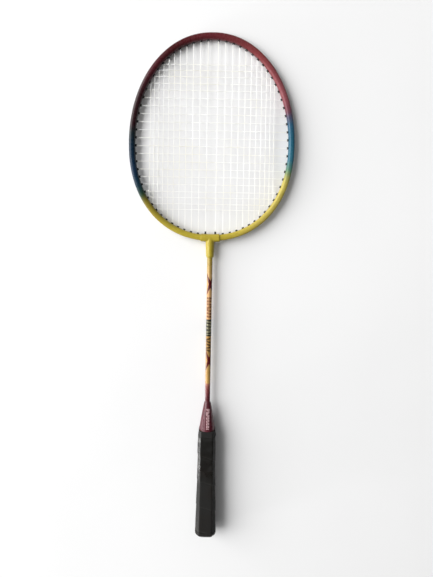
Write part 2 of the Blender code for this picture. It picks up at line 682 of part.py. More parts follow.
def make_grip_wrap(material):
    """Tape wound down the handle in one spiral, each turn lapping over the one before it."""
    per_column = WRAP_PITCH / WRAP_COLUMNS
    strands = int((WRAP_TOP - WRAP_BOTTOM) / per_column) + 3 * WRAP_COLUMNS
    start = WRAP_TOP + WRAP_PITCH * (1.5 + WRAP_PHASE)
    bm = bmesh.new()
    columns = []
    for strand in range(strands):
        top = start - strand * per_column
        column = []
        for row in range(WRAP_ROWS + 1):
            part = row / WRAP_ROWS
            y = top - WRAP_STEP - (WRAP_PITCH - WRAP_STEP) * part
            thickness = WRAP_THIN + (WRAP_THICK - WRAP_THIN) * part
            column.append(bm.verts.new(wrap_point(strand, y, thickness)))
        columns.append(column)
    for strand in range(strands - 1):
        here, there = columns[strand], columns[strand + 1]
        for row in range(WRAP_ROWS):
            bm.faces.new((here[row], there[row], there[row + 1], here[row + 1]))
        if strand + WRAP_COLUMNS + 1 < strands:
            below, below_next = columns[strand + WRAP_COLUMNS], columns[strand + WRAP_COLUMNS + 1]
            bm.faces.new((here[-1], there[-1], below_next[0], below[0]))
    for y, sign in ((WRAP_TOP, 1.0), (WRAP_BOTTOM, -1.0)):
        cut = bmesh.ops.bisect_plane(bm, geom=bm.verts[:] + bm.edges[:] + bm.faces[:], dist=1e-7,
                                     plane_co=(0.0, y, 0.0), plane_no=(0.0, sign, 0.0), clear_outer=True)
        edges = [edge for edge in cut["geom_cut"] if isinstance(edge, bmesh.types.BMEdge)]
        bmesh.ops.triangle_fill(bm, use_beauty=True, edges=edges)
    wrap = add_object("grip_wrap", bm, material)
    margin = 2 * MM
    stations = [WRAP_TOP + margin, FLARE_START]
    stations += [FLARE_START + (FLARE_END - FLARE_START) * i / 4 for i in (1, 2, 3, 4)]
    hollow = loft([grown_octagon(SLIP_GAP + flare(y), y) for y in stations + [WRAP_BOTTOM - margin]])
    combine(wrap, "DIFFERENCE", add_cutter("wrap_hollow", hollow))


def make_finishing_band(material):
    """Thin octagonal band that closes the top of the grip."""
    bm = bmesh.new()
    rings = []
    for y, growth in ((GRIP_TOP, SLIP_GAP), (GRIP_TOP, SLIP_GAP + BAND_THICKNESS),
                      (BAND_BOTTOM, SLIP_GAP + BAND_THICKNESS), (BAND_BOTTOM, SLIP_GAP)):
        rings.append([bm.verts.new(point) for point in grown_octagon(growth, y)])
    for ring_a, ring_b in zip(rings, rings[1:] + rings[:1]):
        add_strip(bm, ring_a, ring_b)
    add_object("grip_finishing_band", bm, material)


def make_butt_cap(material):
    """Moulded end cap with rounded edges and a boss that plugs into the core."""
    width, depth = CAP_SIZE
    boss = [octagon(BOSS_SIZE, BOSS_SIZE, BOSS_SIZE * REGULAR_CHAMFER, y)
            for y in (CAP_TOP + BOSS_LENGTH, CAP_TOP)]
    body = [octagon(width - 2 * inset, depth - 2 * inset, CAP_CHAMFER - CHAMFER_GROWTH * inset,
                    CAP_TOP - distance) for distance, inset in CAP_ROUNDING]
    add_object("butt_cap", loft(boss + body), material)


# ---------------------------------------------------------------- assembly

def main():
    clear_scene()
    frame_paint = make_material("frame_paint", (0.32, 0.03, 0.05), 0.3, 0.2)
    yellow_paint = make_material("yellow_paint", (0.55, 0.42, 0.08), 0.35, 0.2)
    shaft_paint = make_material("shaft_paint", (0.6, 0.42, 0.15), 0.3, 0.3)
    grommet_plastic = make_material("grommet_plastic", (0.02, 0.02, 0.02), 0.5)
    spigot_plastic = make_material("spigot_plastic", (0.12, 0.12, 0.12), 0.6)
    cone_plastic = make_material("cone_plastic", (0.28, 0.04, 0.06), 0.3)
    wood = make_material("wood", (0.6, 0.42, 0.25), 0.7)
    grip_tape = make_material("grip_tape", (0.02, 0.018, 0.016), 0.6)
    band_tape = make_material("band_tape", (0.03, 0.03, 0.03), 0.45)
    cap_plastic = make_material("cap_plastic", (0.015, 0.015, 0.015), 0.4)
    main_nylon = make_material("main_nylon", (0.9, 0.9, 0.88), 0.35)
    cross_nylon = make_material("cross_nylon", (0.9, 0.9, 0.88), 0.35)
    make_head_frame(frame_paint)
    make_t_joint(yellow_paint, spigot_plastic)
    make_t_grommets(grommet_plastic)
    make_grommet_strips(grommet_plastic)
    add_object("main_string", string_tube(main_route()), main_nylon)
    add_object("cross_string", string_tube(cross_route()), cross_nylon)
    make_shaft(shaft_paint)
    make_cone_cap(cone_plastic)
    make_handle_core(wood)
    make_grip_wrap(grip_tape)
    make_finishing_band(band_tape)
    make_butt_cap(cap_plastic)


main()
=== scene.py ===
"""Looks of the badminton racket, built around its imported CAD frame.

Metres, in the frame's axes: +Y towards the head, +Z up, X across.  Places along the racket are
measured from the head's centre, as in the CAD part, and every fine piece follows the CAD solid
that it replaces.
"""
from math import copysign, cos, pi, radians, sin, sqrt, tan, tau

import bmesh
import bpy
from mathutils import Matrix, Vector


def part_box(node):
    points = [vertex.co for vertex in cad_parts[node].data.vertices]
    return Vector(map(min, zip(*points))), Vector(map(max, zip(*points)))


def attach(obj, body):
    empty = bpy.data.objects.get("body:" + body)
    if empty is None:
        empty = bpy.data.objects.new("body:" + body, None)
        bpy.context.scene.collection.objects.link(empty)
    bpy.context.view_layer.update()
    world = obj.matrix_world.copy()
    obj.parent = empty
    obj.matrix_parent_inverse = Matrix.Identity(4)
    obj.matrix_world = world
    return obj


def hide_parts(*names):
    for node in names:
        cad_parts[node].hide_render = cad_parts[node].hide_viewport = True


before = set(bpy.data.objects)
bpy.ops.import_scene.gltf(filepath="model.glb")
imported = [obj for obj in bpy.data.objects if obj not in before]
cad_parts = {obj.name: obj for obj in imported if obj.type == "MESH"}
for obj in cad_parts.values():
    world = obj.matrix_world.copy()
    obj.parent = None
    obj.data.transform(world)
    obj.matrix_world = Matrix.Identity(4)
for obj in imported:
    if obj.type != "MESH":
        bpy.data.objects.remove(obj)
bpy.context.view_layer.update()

MM = 0.001
HOOP_LOW, HOOP_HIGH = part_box("head_frame")

# Hoop, as in the CAD part
HOOP_HALF_WIDTH = 98.5 * MM
HOOP_TO_TOP = 122.4 * MM
HOOP_TO_BOTTOM = 116.4 * MM
HOOP_SQUARENESS = 2.11
HOOP_EGG = -0.043
HOOP_END_GAP = 0.5 * MM
TUBE_HALF_WIDTH = 3.95 * MM
TUBE_HALF_DEPTH = 4.7 * MM
TUBE_SQUARENESS = 2.6
TUBE_BORE = (3.0 * MM, 3.75 * MM)
GROOVE_FLOOR = 2.35 * MM
GROOVE_HALF_WIDTH = 1.8 * MM
GROOVE_LIP = 3.9 * MM
AXIS_HEIGHT = (HOOP_LOW.z + HOOP_HIGH.z) / 2
HEAD_CENTRE = Vector((0.0, HOOP_HIGH.y - GROOVE_LIP - HOOP_TO_TOP, AXIS_HEIGHT))
TO_BUTT = Vector((0.0, -1.0, 0.0))
UPRIGHT = Vector((0.0, 0.0, 1.0))
SIDES = (("right", 1), ("left", -1))

# Strings and holes, as in the CAD part
STRING_RADIUS = 0.35 * MM
MAINS_PER_SIDE = 11
FIRST_MAIN = 6.2 * MM
MAIN_STEP = 9.4 * MM
MAIN_EASE = 0.235 * MM
MAIN_SPLAY = 0.022
CROSS_MIDDLE = 5.4 * MM
CROSS_STEP = 9.45 * MM
CROSS_EASE = 0.004 * MM
SIDE_CROSSES = range(6, -8, -1)
SHARED_TOP = range(7, 11)
SHARED_BOTTOM = (10, 9, 8)
CROSS_RISE = 0.44 * MM  # the two strings share the bend at each crossing
MAIN_RISE = 0.28 * MM
LANE_HEIGHT = 0.5 * MM
STRING_SIDES = 10
STRING_BEND = 0.9 * MM
WEAVE_STEPS = 4  # points from one crossing to the next

# Grommets
HOLE_RADIUS = 1.65 * MM
BARREL_RADIUS = 1.45 * MM
BORE_RADIUS = 1.02 * MM
BARREL_LIP = 1.6 * MM
SLEEVE_GROMMET_REACH = 2.95 * MM  # how far a T-joint grommet shows inside the hoop
SLEEVE_GROMMET_BORE = 0.75 * MM
SLEEVE_GROMMET_RADIUS = 1.15 * MM
RAIL_BOTTOM = GROOVE_FLOOR + 0.12 * MM
RAIL_TOP = GROOVE_FLOOR + 0.7 * MM
RAIL_HALF_WIDTH = 1.6 * MM
RAIL_END_GAP = 0.3 * MM
RAIL_END_X = 12.55 * MM
STRIPS_PER_SIDE = 5
STRING_SEAT = RAIL_TOP + STRING_RADIUS + 0.08 * MM
MOUTH = -(TUBE_HALF_WIDTH + BARREL_LIP)
MOUTH_CLEARANCE = 0.4 * MM

# T-joint
SLEEVE_HALF_LENGTH = 12.0 * MM
SLEEVE_GAP = 0.15 * MM
SLEEVE_WALL = 0.9 * MM
SLEEVE_OUTSIDE = TUBE_HALF_WIDTH + SLEEVE_GAP + SLEEVE_WALL
STEM_LENGTH = 25.4 * MM
STEM_PROFILE = ((0.0, 6.0 * MM), (5.2 * MM, 6.0 * MM), (7.0 * MM, 5.8 * MM), (12.0 * MM, 5.5 * MM),
                (STEM_LENGTH - 2.2 * MM, 5.05 * MM), (STEM_LENGTH - 1.6 * MM, 4.9 * MM),
                (STEM_LENGTH, 4.2 * MM))
STEM_BLIND = TUBE_HALF_WIDTH + 1.5 * MM  # depth at which the shaft's hole stops short of the hoop

# Shaft, cone and handle
SHAFT_RADIUS = 3.5 * MM
SHAFT_WALL = 0.6 * MM
CORE_SIZE = (21.8 * MM, 19.6 * MM)
CORE_CHAMFER = 3.3 * MM
CHAMFER_GROWTH = 0.586  # an octagon's chamfer grows by this share of its offset
TAPE_CORNER = 2.5 * MM  # rounding of the octagon's corners, for tape, band and cap
BAND_CORNER = 1.8 * MM
CAP_CORNER = 4.2 * MM
FLARE_START = -425.0 * MM
FLARE_END = -530.0 * MM
FLARE_GROWTH = 1.8 * MM
WRAP_PITCH = 38.5 * MM
WRAP_THIN = 1.15 * MM
WRAP_THICK = 1.75 * MM
WRAP_LEAD = 2.145  # the spiral starts this many pitches above the tape's top
WRAP_PULL = 0.35 * MM  # the tape is pulled tight under the band
WRAP_PULL_LENGTH = 12.0 * MM
WRAP_ORIGIN = 0.105  # the outline starts at this share of a turn from the top
WRAP_WAVE = 0.035  # the tape's edge runs flatter over the wide faces
WRAP_WAVE_START = 0.12
BUTT_ROUNDING = 10.8 * MM
BUTT_SKIRT = 7.0 * MM  # the cap's boss is hidden in the core above this

# Paint, in display colours; on the hoop, in degrees clockwise from the head's top. Round the hoop the
# left half is painted darker and the right half lighter than the paint itself: painted shade and painted
# light, as from a lamp at the left.
BURGUNDY = (88, 30, 36)
YELLOW = (166, 148, 46)
HOOP_FIELDS_AND_PAINTED_SHADING = (
    (0, BURGUNDY), (15, (98, 42, 44)), (30, (120, 54, 55)), (62, (124, 67, 73)), (69, (105, 58, 68)),
    (74, (68, 66, 86)), (80, (38, 80, 104)), (90, (32, 84, 104)), (104, (42, 94, 112)),
    (111, (76, 112, 88)), (119, (170, 156, 74)), (150, (172, 154, 70)), (176, YELLOW),
    (200, (162, 146, 50)), (226, (118, 104, 30)), (231, (36, 58, 34)), (237, (14, 44, 58)),
    (246, (6, 35, 60)), (264, (5, 32, 50)), (273, (14, 28, 32)), (279, (36, 11, 15)),
    (300, (42, 16, 21)), (318, (68, 22, 29)), (335, (60, 17, 20)), (360, BURGUNDY))

# Paint on the shaft, in millimetres down from the head's centre
SHAFT_PAINT = (120.0, 340.0)
SHAFT_FIELDS = (
    (123, YELLOW), (141, (158, 136, 50)), (150, (158, 132, 62)), (163, (176, 142, 88)),
    (196, (196, 152, 104)), (222, (196, 154, 106)), (247, (156, 120, 62)), (270, (158, 122, 66)),
    (284, (166, 130, 74)), (311.5, (176, 138, 78)), (313.5, (146, 92, 78)), (320, (112, 56, 54)),
    (333, (84, 30, 38)), (340, (76, 26, 32)))
DARK_BLOCK = (223.2, 246.2)
SHAFT_PRINTS = (  # start, end, cell, gap, thickness, colour
    (193.5, 222.0, 4.1, 0.36, 0.26, (84, 36, 12)), (225.5, 244.5, 4.4, 0.5, 0.14, (140, 136, 108)),
    (248.5, 269.0, 4.0, 0.45, 0.3, (52, 30, 8)))
PRINT_HALF_ANGLE = 0.95  # how far the prints reach round the shaft, in radians
RIBBON_CROSSINGS = (176.2, 280.0)
RIBBON_HALF_LENGTH = 13.5
RIBBON_TWIST = 0.115  # radians round the shaft for each millimetre
RIBBON_BEARING = 0.4  # where the two ribbons cross, in radians from the front
CONE_PRINT = (348.0, 376.0)
CONE_PRINT_HALF_WIDTH = 1.9
CONE_PRINT_SHIFT = -0.5

# Light and camera
BRIGHT_SIDE = (-0.86, 0.4, -0.3)  # the room is brightest low at the left, and dim overhead
ROOM_BRIGHT = 0.7
ROOM_DIM = 0.07
BACKDROP = 0.93
WINDOW = ((-4.0, 1.2, 2.9), 4.6, 500.0)  # place, size, power
LOW_WINDOW = ((-3.5, -1.65, 0.45), 0.7, 46.0)
FLOOR_REACH = 6.0
FLOOR_CLEARANCE = 0.02 * MM
CAMERA_PLACE = (9.3 * MM, -73.1 * MM, 591.5 * MM)
CAMERA_TILT = (-10.44, 0.0, 1.13)  # degrees
CAMERA_LENS = 28.7
CAMERA_SENSOR = 36.0


def place(point):
    """From the head's centre to the frame's axes."""
    return HEAD_CENTRE + Vector(point)


def span(node):
    """Lowest and highest place of a CAD node along the racket, from the head's centre."""
    low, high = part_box(node)
    return low.y - HEAD_CENTRE.y, high.y - HEAD_CENTRE.y


# ---- material helpers

def colour(red, green, blue):
    """Display colour, 0 to 255, as the linear colour that a shader takes."""
    linear = []
    for part in (red / 255, green / 255, blue / 255):
        linear.append(part / 12.92 if part <= 0.04045 else ((part + 0.055) / 1.055) ** 2.4)
    return (*linear, 1.0)


def add_node(tree, kind, feeds, output=0, **settings):
    """New shader node with these settings and inputs; returns one of its outputs."""
    node = tree.nodes.new("ShaderNode" + kind)
    for name, value in settings.items():
        setattr(node, name, value)
    for name, value in feeds.items():
        feed(tree, node.inputs[name], value)
    return node.outputs[output]


def feed(tree, socket, value):
    if isinstance(value, bpy.types.NodeSocket):
        tree.links.new(value, socket)
    else:
        socket.default_value = value


def map_range(tree, value, low, high, out_low, out_high, **settings):
    feeds = {"Value": value, "From Min": low, "From Max": high, "To Min": out_low, "To Max": out_high}
    return add_node(tree, "MapRange", feeds, "Result", **settings)


class Graph:
    """One material, with short names for the nodes that it uses."""

    def __init__(self, name, roughness=0.5, coat=0.0, coat_roughness=0.1, specular=0.5):
        self.material = bpy.data.materials.new(name)
        self.material.use_nodes = True
        self.tree = self.material.node_tree
        self.shader = self.tree.nodes["Principled BSDF"]
        for socket, value in (("Roughness", roughness), ("Specular IOR Level", specular),
                              ("Coat Weight", coat), ("Coat Roughness", coat_roughness)):
            self.shader.inputs[socket].default_value = value
        self.coordinates = add_node(self.tree, "TexCoord", {}, "Object")

    def calc(self, operation, *values):
        return add_node(self.tree, "Math", dict(enumerate(values)), operation=operation)

    def times(self, first, second):
        return self.calc("MULTIPLY", first, second)

    def plus(self, first, second):
        return self.calc("ADD", first, second)

    def minus(self, first, second):
        return self.calc("SUBTRACT", first, second)

    def axes(self):
        """Place in the frame's axes, measured from the head's centre."""
        feeds = {0: self.coordinates, 1: HEAD_CENTRE}
        shifted = add_node(self.tree, "VectorMath", feeds, operation="SUBTRACT")
        return add_node(self.tree, "SeparateXYZ", {0: shifted}).node.outputs

    def stretched(self, scale):
        return add_node(self.tree, "Mapping", {"Scale": scale, "Vector": self.coordinates})

    def noise(self, scale, detail, vector=None):
        feeds = {"Scale": scale, "Detail": detail, "Vector": vector or self.coordinates}
        return add_node(self.tree, "TexNoise", feeds, "Fac")

    def cells(self, scale):
        feeds = {"Scale": scale, "Vector": self.coordinates}
        return add_node(self.tree, "TexVoronoi", feeds, "Distance")

    def ramp(self, factor, stops):
        shade = add_node(self.tree, "ValToRGB", {"Fac": factor}, "Color")
        elements = shade.node.color_ramp.elements
        while len(elements) < len(stops):
            elements.new(0.5)
        for element, (position, tint) in zip(elements, stops):
            element.position = position
            element.color = tint
        return shade

    def remap(self, value, low, high, out_low=0.0, out_high=1.0, kind="SMOOTHSTEP"):
        return map_range(self.tree, value, low, high, out_low, out_high, interpolation_type=kind)

    def patches(self, scale, detail, *ends):
        """Noise, remapped between these ends."""
        return self.remap(self.noise(scale, detail), *ends)

    def within(self, value, low, high, soft):
        """1 between low and high, fading over the soft distance."""
        rise = self.remap(value, low - soft / 2, low + soft / 2)
        fall = self.remap(value, high - soft / 2, high + soft / 2, 1.0, 0.0)
        return self.times(rise, fall)

    def mix(self, factor, first, second, blend="MIX"):
        feeds = {"Factor": factor, "A": first, "B": second}
        return add_node(self.tree, "Mix", feeds, "Result", data_type="RGBA", blend_type=blend)

    def bump(self, height, distance, strength):
        feeds = {"Height": height, "Distance": distance, "Strength": strength}
        return add_node(self.tree, "Bump", feeds, "Normal")

    def done(self, base, roughness=None, normal=None):
        for socket, value in (("Base Color", base), ("Roughness", roughness), ("Normal", normal)):
            if value is not None:
                feed(self.tree, self.shader.inputs[socket], value)
        return self.material


def paint_finish(graph, base, roughness=0.27):
    """Sprayed gloss paint: a faint mottle, an orange-peel ripple and uneven polish."""
    mottle = graph.patches(140, 4, 0.3, 0.7, 0.94, 1.05)
    shade = add_node(graph.tree, "CombineColor", {0: mottle, 1: mottle, 2: mottle})
    tinted = graph.mix(1.0, base, shade, "MULTIPLY")
    polish = graph.patches(420, 3, 0.3, 0.75, roughness - 0.05, roughness + 0.12)
    peel = graph.bump(graph.noise(900, 2), 0.00002, 0.5)
    return graph.done(tinted, polish, peel)


def frame_material():
    """Burgundy, blue and yellow fields that fade into each other round the hoop, with painted shade
    darkening the left half and painted light brightening the right half.
    """
    graph = Graph("hoop_paint", coat=0.06, coat_roughness=0.12, specular=0.2)
    x, y, _ = graph.axes()
    bearing = graph.calc("ARCTAN2", x, graph.minus(y, CROSS_MIDDLE))
    turn = graph.calc("FRACT", graph.plus(graph.calc("DIVIDE", bearing, tau), 1.0))
    uneven = graph.remap(graph.noise(160, 3), 0.0, 1.0, -0.004, 0.004, kind="LINEAR")
    turn = graph.plus(turn, uneven)
    # The stops hold the paint's fields, with painted shade on the left half and painted light on the
    # right half.
    stops = [(degrees / 360, colour(*shade)) for degrees, shade in HOOP_FIELDS_AND_PAINTED_SHADING]
    return paint_finish(graph, graph.ramp(turn, stops))


def yellow_material():
    """Plain yellow gloss with a little grime."""
    graph = Graph("joint_paint", coat=0.12, coat_roughness=0.12, specular=0.35)
    grime = graph.patches(60, 4, 0.45, 0.8)
    return paint_finish(graph, graph.mix(grime, colour(*YELLOW), colour(154, 134, 30)), 0.3)


def printed_marks(graph, along, across, cell, gap, thickness):
    """Row of plain slanted strokes that stand for print: every cell leans and opens differently."""
    place_in_row = graph.calc("DIVIDE", along, cell)
    cell_number = {"W": graph.calc("FLOOR", place_in_row)}
    chance = add_node(graph.tree, "TexWhiteNoise", cell_number, "Value", noise_dimensions="1D")
    lean = graph.times(graph.minus(chance, 0.5), across)
    wave = graph.calc("FRACT", graph.plus(place_in_row, graph.times(lean, 0.6)))
    stroke = graph.within(wave, gap / 2, 1 - gap / 2, 0.12)
    core = graph.within(wave, gap / 2 + thickness, 1 - gap / 2 - thickness, 0.12)
    middle = graph.within(graph.calc("ABSOLUTE", across), -1.0, 0.42, 0.15)
    return graph.minus(stroke, graph.times(core, middle))


def shaft_material():
    """Yellow gloss fading to burgundy, with crossing ribbons, a dark block and rows of plain marks."""
    graph = Graph("shaft_paint", coat=0.15, coat_roughness=0.1, specular=0.35)
    x, y, z = graph.axes()
    length = graph.times(y, -1000.0)
    facing = graph.calc("ARCTAN2", x, z)
    first, last = SHAFT_PAINT
    stops = [((down - first) / (last - first), colour(*shade)) for down, shade in SHAFT_FIELDS]
    base = graph.ramp(graph.remap(length, first, last, kind="LINEAR"), stops)
    around = graph.calc("ABSOLUTE", facing)
    front = graph.remap(around, PRINT_HALF_ANGLE, PRINT_HALF_ANGLE + 0.15, 1.0, 0.0)
    base = graph.mix(graph.within(length, *DARK_BLOCK, 0.5), base, colour(30, 29, 19))
    across = graph.calc("DIVIDE", facing, PRINT_HALF_ANGLE)
    for start, end, cell, gap, thickness, tint in SHAFT_PRINTS:
        marks = printed_marks(graph, length, across, cell, gap, thickness)
        zone = graph.times(graph.within(length, start, end, 0.3), front)
        base = graph.mix(graph.times(marks, zone), base, colour(*tint))
    half = RIBBON_HALF_LENGTH
    for middle in RIBBON_CROSSINGS:
        along = graph.minus(length, middle)
        taper = graph.remap(graph.calc("ABSOLUTE", along), 0.5, half, 0.64, 0.22)
        for hand in (1.0, -1.0):
            path = graph.calc("MULTIPLY_ADD", along, RIBBON_TWIST * hand, RIBBON_BEARING)
            off = graph.calc("ABSOLUTE", graph.minus(facing, path))
            ribbon = graph.remap(graph.minus(off, taper), -0.04, 0.04, 1.0, 0.0)
            near = graph.within(along, -half, half, 0.4)
            base = graph.mix(graph.times(ribbon, near), base, colour(82, 18, 18))
    return paint_finish(graph, base, 0.25)


def cone_material():
    """Moulded burgundy gloss with a row of plain pale marks down the front."""
    graph = Graph("cone_plastic", coat=0.12, coat_roughness=0.15, specular=0.4)
    x, y, z = graph.axes()
    length = graph.times(y, -1000.0)
    across = graph.calc("MULTIPLY_ADD", x, 1000.0 / CONE_PRINT_HALF_WIDTH, CONE_PRINT_SHIFT)
    marks = printed_marks(graph, length, across, 3.9, 0.3, 0.19)
    width = graph.within(across, -1.0, 1.0, 0.15)
    zone = graph.times(graph.within(length, *CONE_PRINT, 0.3), width)
    above = graph.remap(z, 0.0, 0.001)
    printed = graph.times(graph.times(marks, zone), above)
    mottle = graph.patches(90, 4, 0.35, 0.7)
    base = graph.mix(mottle, colour(80, 24, 36), colour(68, 18, 30))
    base = graph.mix(printed, base, colour(206, 172, 174))
    moulded = graph.bump(graph.noise(700, 3), 0.00003, 0.4)
    return graph.done(base, graph.patches(300, 3, 0.3, 0.7, 0.24, 0.38), moulded)


def tape_share(graph):
    """Place across the tape, as in make_grip: 0 beside the last turn's edge, 1 at its own edge."""
    x, y, z = graph.axes()
    turned = graph.calc("DIVIDE", graph.calc("ARCTAN2", x, z), tau)
    share_round = graph.calc("FRACT", graph.minus(turned, WRAP_ORIGIN - 1.0))
    wave = graph.times(graph.minus(share_round, WRAP_WAVE_START), 2 * tau)
    lag = graph.times(graph.calc("SINE", wave), WRAP_WAVE)
    start = span("grip_wrap")[1] + WRAP_PITCH * WRAP_LEAD
    turns = graph.calc("MULTIPLY_ADD", y, -1.0 / WRAP_PITCH, start / WRAP_PITCH)
    return graph.calc("FRACT", graph.minus(graph.minus(turns, share_round), lag))


def grip_material():
    """Black synthetic leather: fine grain, tape edges lighter from wear and a painted highlight, a
    painted crease shadow beside each lap, and patches near the top polished by the hand.
    """
    graph = Graph("grip_leather", specular=0.42)
    grain = graph.cells(1500)
    fine = graph.noise(3200, 2)
    rub = graph.patches(45, 4, 0.4, 0.75)
    base = graph.mix(rub, colour(12, 11, 8), colour(18, 14, 10))
    base = graph.mix(graph.remap(grain, 0.0, 0.35, 0.45, 0.0), base, colour(10, 9, 8))
    share = tape_share(graph)
    # Lighter line along each lap's own edge: partly wear, partly a painted highlight on the rolled edge.
    edge = graph.within(share, 0.962, 0.994, 0.016)
    wear_and_highlight = graph.times(edge, graph.remap(rub, 0.0, 1.0, 0.25, 0.6))
    base = graph.mix(wear_and_highlight, base, colour(48, 47, 44))
    # Painted shade: a near-black line in the crease beside the last turn's edge, where the lap shades
    # the tape.
    base = graph.mix(graph.within(share, -0.1, 0.016, 0.012), base, colour(5, 4, 4))
    handled = graph.remap(graph.axes()[1], -0.462, -0.444)
    polished = graph.times(graph.patches(110, 3, 0.3, 0.6), handled)
    dull = graph.remap(rub, 0.0, 1.0, 0.62, 0.52)
    roughness = graph.minus(dull, graph.times(polished, 0.3))
    height = graph.plus(graph.times(grain, 0.8), graph.times(fine, 0.4))
    return graph.done(base, roughness, graph.bump(height, 0.00012, 0.55))


def plastic_material(name, dark, light, roughness, grain=1400):
    graph = Graph(name, specular=0.35)
    base = graph.mix(graph.patches(260, 3, 0.3, 0.7), dark, light)
    polish = graph.patches(500, 2, 0.3, 0.7, roughness - 0.06, roughness + 0.08)
    return graph.done(base, polish, graph.bump(graph.noise(grain, 3), 0.00004, 0.5))


def string_material():
    """White nylon, a little warmer in patches, with the faint twist of its outer fibres."""
    graph = Graph("string_nylon", coat=0.3, coat_roughness=0.15)
    graph.shader.inputs["Subsurface Weight"].default_value = 0.12
    graph.shader.inputs["Subsurface Radius"].default_value = (0.0006, 0.0006, 0.0005)
    warmth = graph.patches(35, 3, 0.4, 0.7)
    base = graph.mix(warmth, colour(244, 244, 242), colour(236, 234, 224))
    fibres = graph.noise(2600, 2, graph.stretched((1.0, 1.0, 3.0)))
    polish = graph.remap(fibres, 0.3, 0.7, 0.28, 0.4)
    return graph.done(base, polish, graph.bump(fibres, 0.00003, 0.5))


def wood_material():
    """Plain pale wood, with its grain along the handle."""
    graph = Graph("core_wood")
    rings = graph.noise(190, 5, graph.stretched((1.0, 0.06, 1.0)))
    pores = graph.noise(1400, 3, graph.stretched((1.0, 0.04, 1.0)))
    base = graph.ramp(rings, [(0.3, colour(176, 132, 88)), (0.5, colour(214, 176, 128)),
                              (0.7, colour(190, 148, 100))])
    base = graph.mix(graph.remap(pores, 0.62, 0.75), base, colour(128, 88, 56))
    return graph.done(base, graph.remap(rings, 0.3, 0.7, 0.6, 0.75), graph.bump(pores, 0.0001, 0.4))


# ---- the hoop's curve and the layout

def signed_power(value, exponent):
    return copysign(abs(value) ** exponent, value)


def hoop_point(turn):
    exponent = 2.0 / HOOP_SQUARENESS
    reach = HOOP_TO_TOP if cos(turn) > 0 else HOOP_TO_BOTTOM
    x = HOOP_HALF_WIDTH * signed_power(sin(turn), exponent) * (1 + HOOP_EGG * cos(turn))
    return Vector((x, reach * signed_power(cos(turn), exponent), 0.0))


def hoop_directions(turn, nudge=0.02):
    along = (hoop_point(turn + nudge) - hoop_point(turn - nudge)).normalized()
    return along, Vector((-along.y, along.x, 0.0))


def hoop_place(turn, outward, height=0.0):
    return hoop_point(turn) + hoop_directions(turn)[1] * outward + Vector((0.0, 0.0, height))


def find_turn(coordinate, target, low, high, outward):
    rising = hoop_place(high, outward)[coordinate] > hoop_place(low, outward)[coordinate]
    for _ in range(50):
        middle = (low + high) / 2
        if (hoop_place(middle, outward)[coordinate] < target) == rising:
            low = middle
        else:
            high = middle
    return (low + high) / 2


def main_x(index, splay):
    return (FIRST_MAIN + index * MAIN_STEP - index * index * MAIN_EASE) * (1 + splay)


def cross_y(index):
    return CROSS_MIDDLE + index * CROSS_STEP - index ** 3 * CROSS_EASE


HALF, QUARTER = pi, pi / 2
TOP_HOLES = [find_turn(0, main_x(k, -MAIN_SPLAY), 0.0, QUARTER, MOUTH) for k in range(MAINS_PER_SIDE)]
SIDE_HOLES = [find_turn(1, cross_y(j), 0.3, HALF - 0.3, MOUTH) for j in SIDE_CROSSES]
BOTTOM_HOLES = [find_turn(0, main_x(k, MAIN_SPLAY), QUARTER, HALF, MOUTH) for k in range(MAINS_PER_SIDE)]
RIGHT_HOLES = TOP_HOLES + SIDE_HOLES + BOTTOM_HOLES[::-1]
CROSS_HOLES = [TOP_HOLES[k] for k in SHARED_TOP] + SIDE_HOLES + [BOTTOM_HOLES[k] for k in SHARED_BOTTOM]
CUT_END = find_turn(0, HOOP_END_GAP, QUARTER, HALF, 0.0)


# ---- mesh helpers

def ring_shell(rings, closed=False):
    """Closed skin through rings of points; not closed means that both ends are capped."""
    count = len(rings[0])
    points = [point for ring in rings for point in ring]
    faces = []
    for i in range(len(rings) if closed else len(rings) - 1):
        here, there = i * count, (i + 1) % len(rings) * count
        for j in range(count):
            k = (j + 1) % count
            faces.append((here + j, there + j, there + k, here + k))
    if not closed:
        last = (len(rings) - 1) * count
        faces += [tuple(range(count)), tuple(range(last, last + count))]
    return points, faces


def add_item(name, data):
    """New object in the scene."""
    item = bpy.data.objects.new(name, data)
    bpy.context.scene.collection.objects.link(item)
    return item


def bare_mesh(name, shells):
    """Object from closed skins, with points measured from the head's centre."""
    points, faces = [], []
    for shell_points, shell_faces in shells:
        start = len(points)
        points += [place(point) for point in shell_points]
        faces += [tuple(start + i for i in face) for face in shell_faces]
    mesh = bpy.data.meshes.new(name)
    mesh.from_pydata(points, [], faces)
    bm = bmesh.new()
    bm.from_mesh(mesh)
    bmesh.ops.recalc_face_normals(bm, faces=bm.faces)
    bm.to_mesh(mesh)
    bm.free()
    return add_item(name, mesh)


def cut(item, cutter_shells):
    """Takes throw-away closed skins out of a piece, applied at once."""
    cutter = bare_mesh("cutter", cutter_shells)
    modifier = item.modifiers.new("cut", "BOOLEAN")
    modifier.operation = "DIFFERENCE"
    modifier.solver = "MANIFOLD"
    modifier.object = cutter
    bake_modifiers(item)
    bpy.data.objects.remove(cutter)


def bake_modifiers(item):
    depsgraph = bpy.context.evaluated_depsgraph_get()
    mesh = bpy.data.meshes.new_from_object(item.evaluated_get(depsgraph))
    item.modifiers.clear()
    item.data = mesh


def dress(item, material, nodes, smooth_angle=35):
    """Smooth shading, material, body and slot; the piece stands for these CAD nodes."""
    item.data.materials.clear()
    item.data.materials.append(material)
    item.data.shade_smooth()
    item.data.set_sharp_from_angle(angle=radians(smooth_angle))
    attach(item, "root")
    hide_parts(*nodes)
    return item


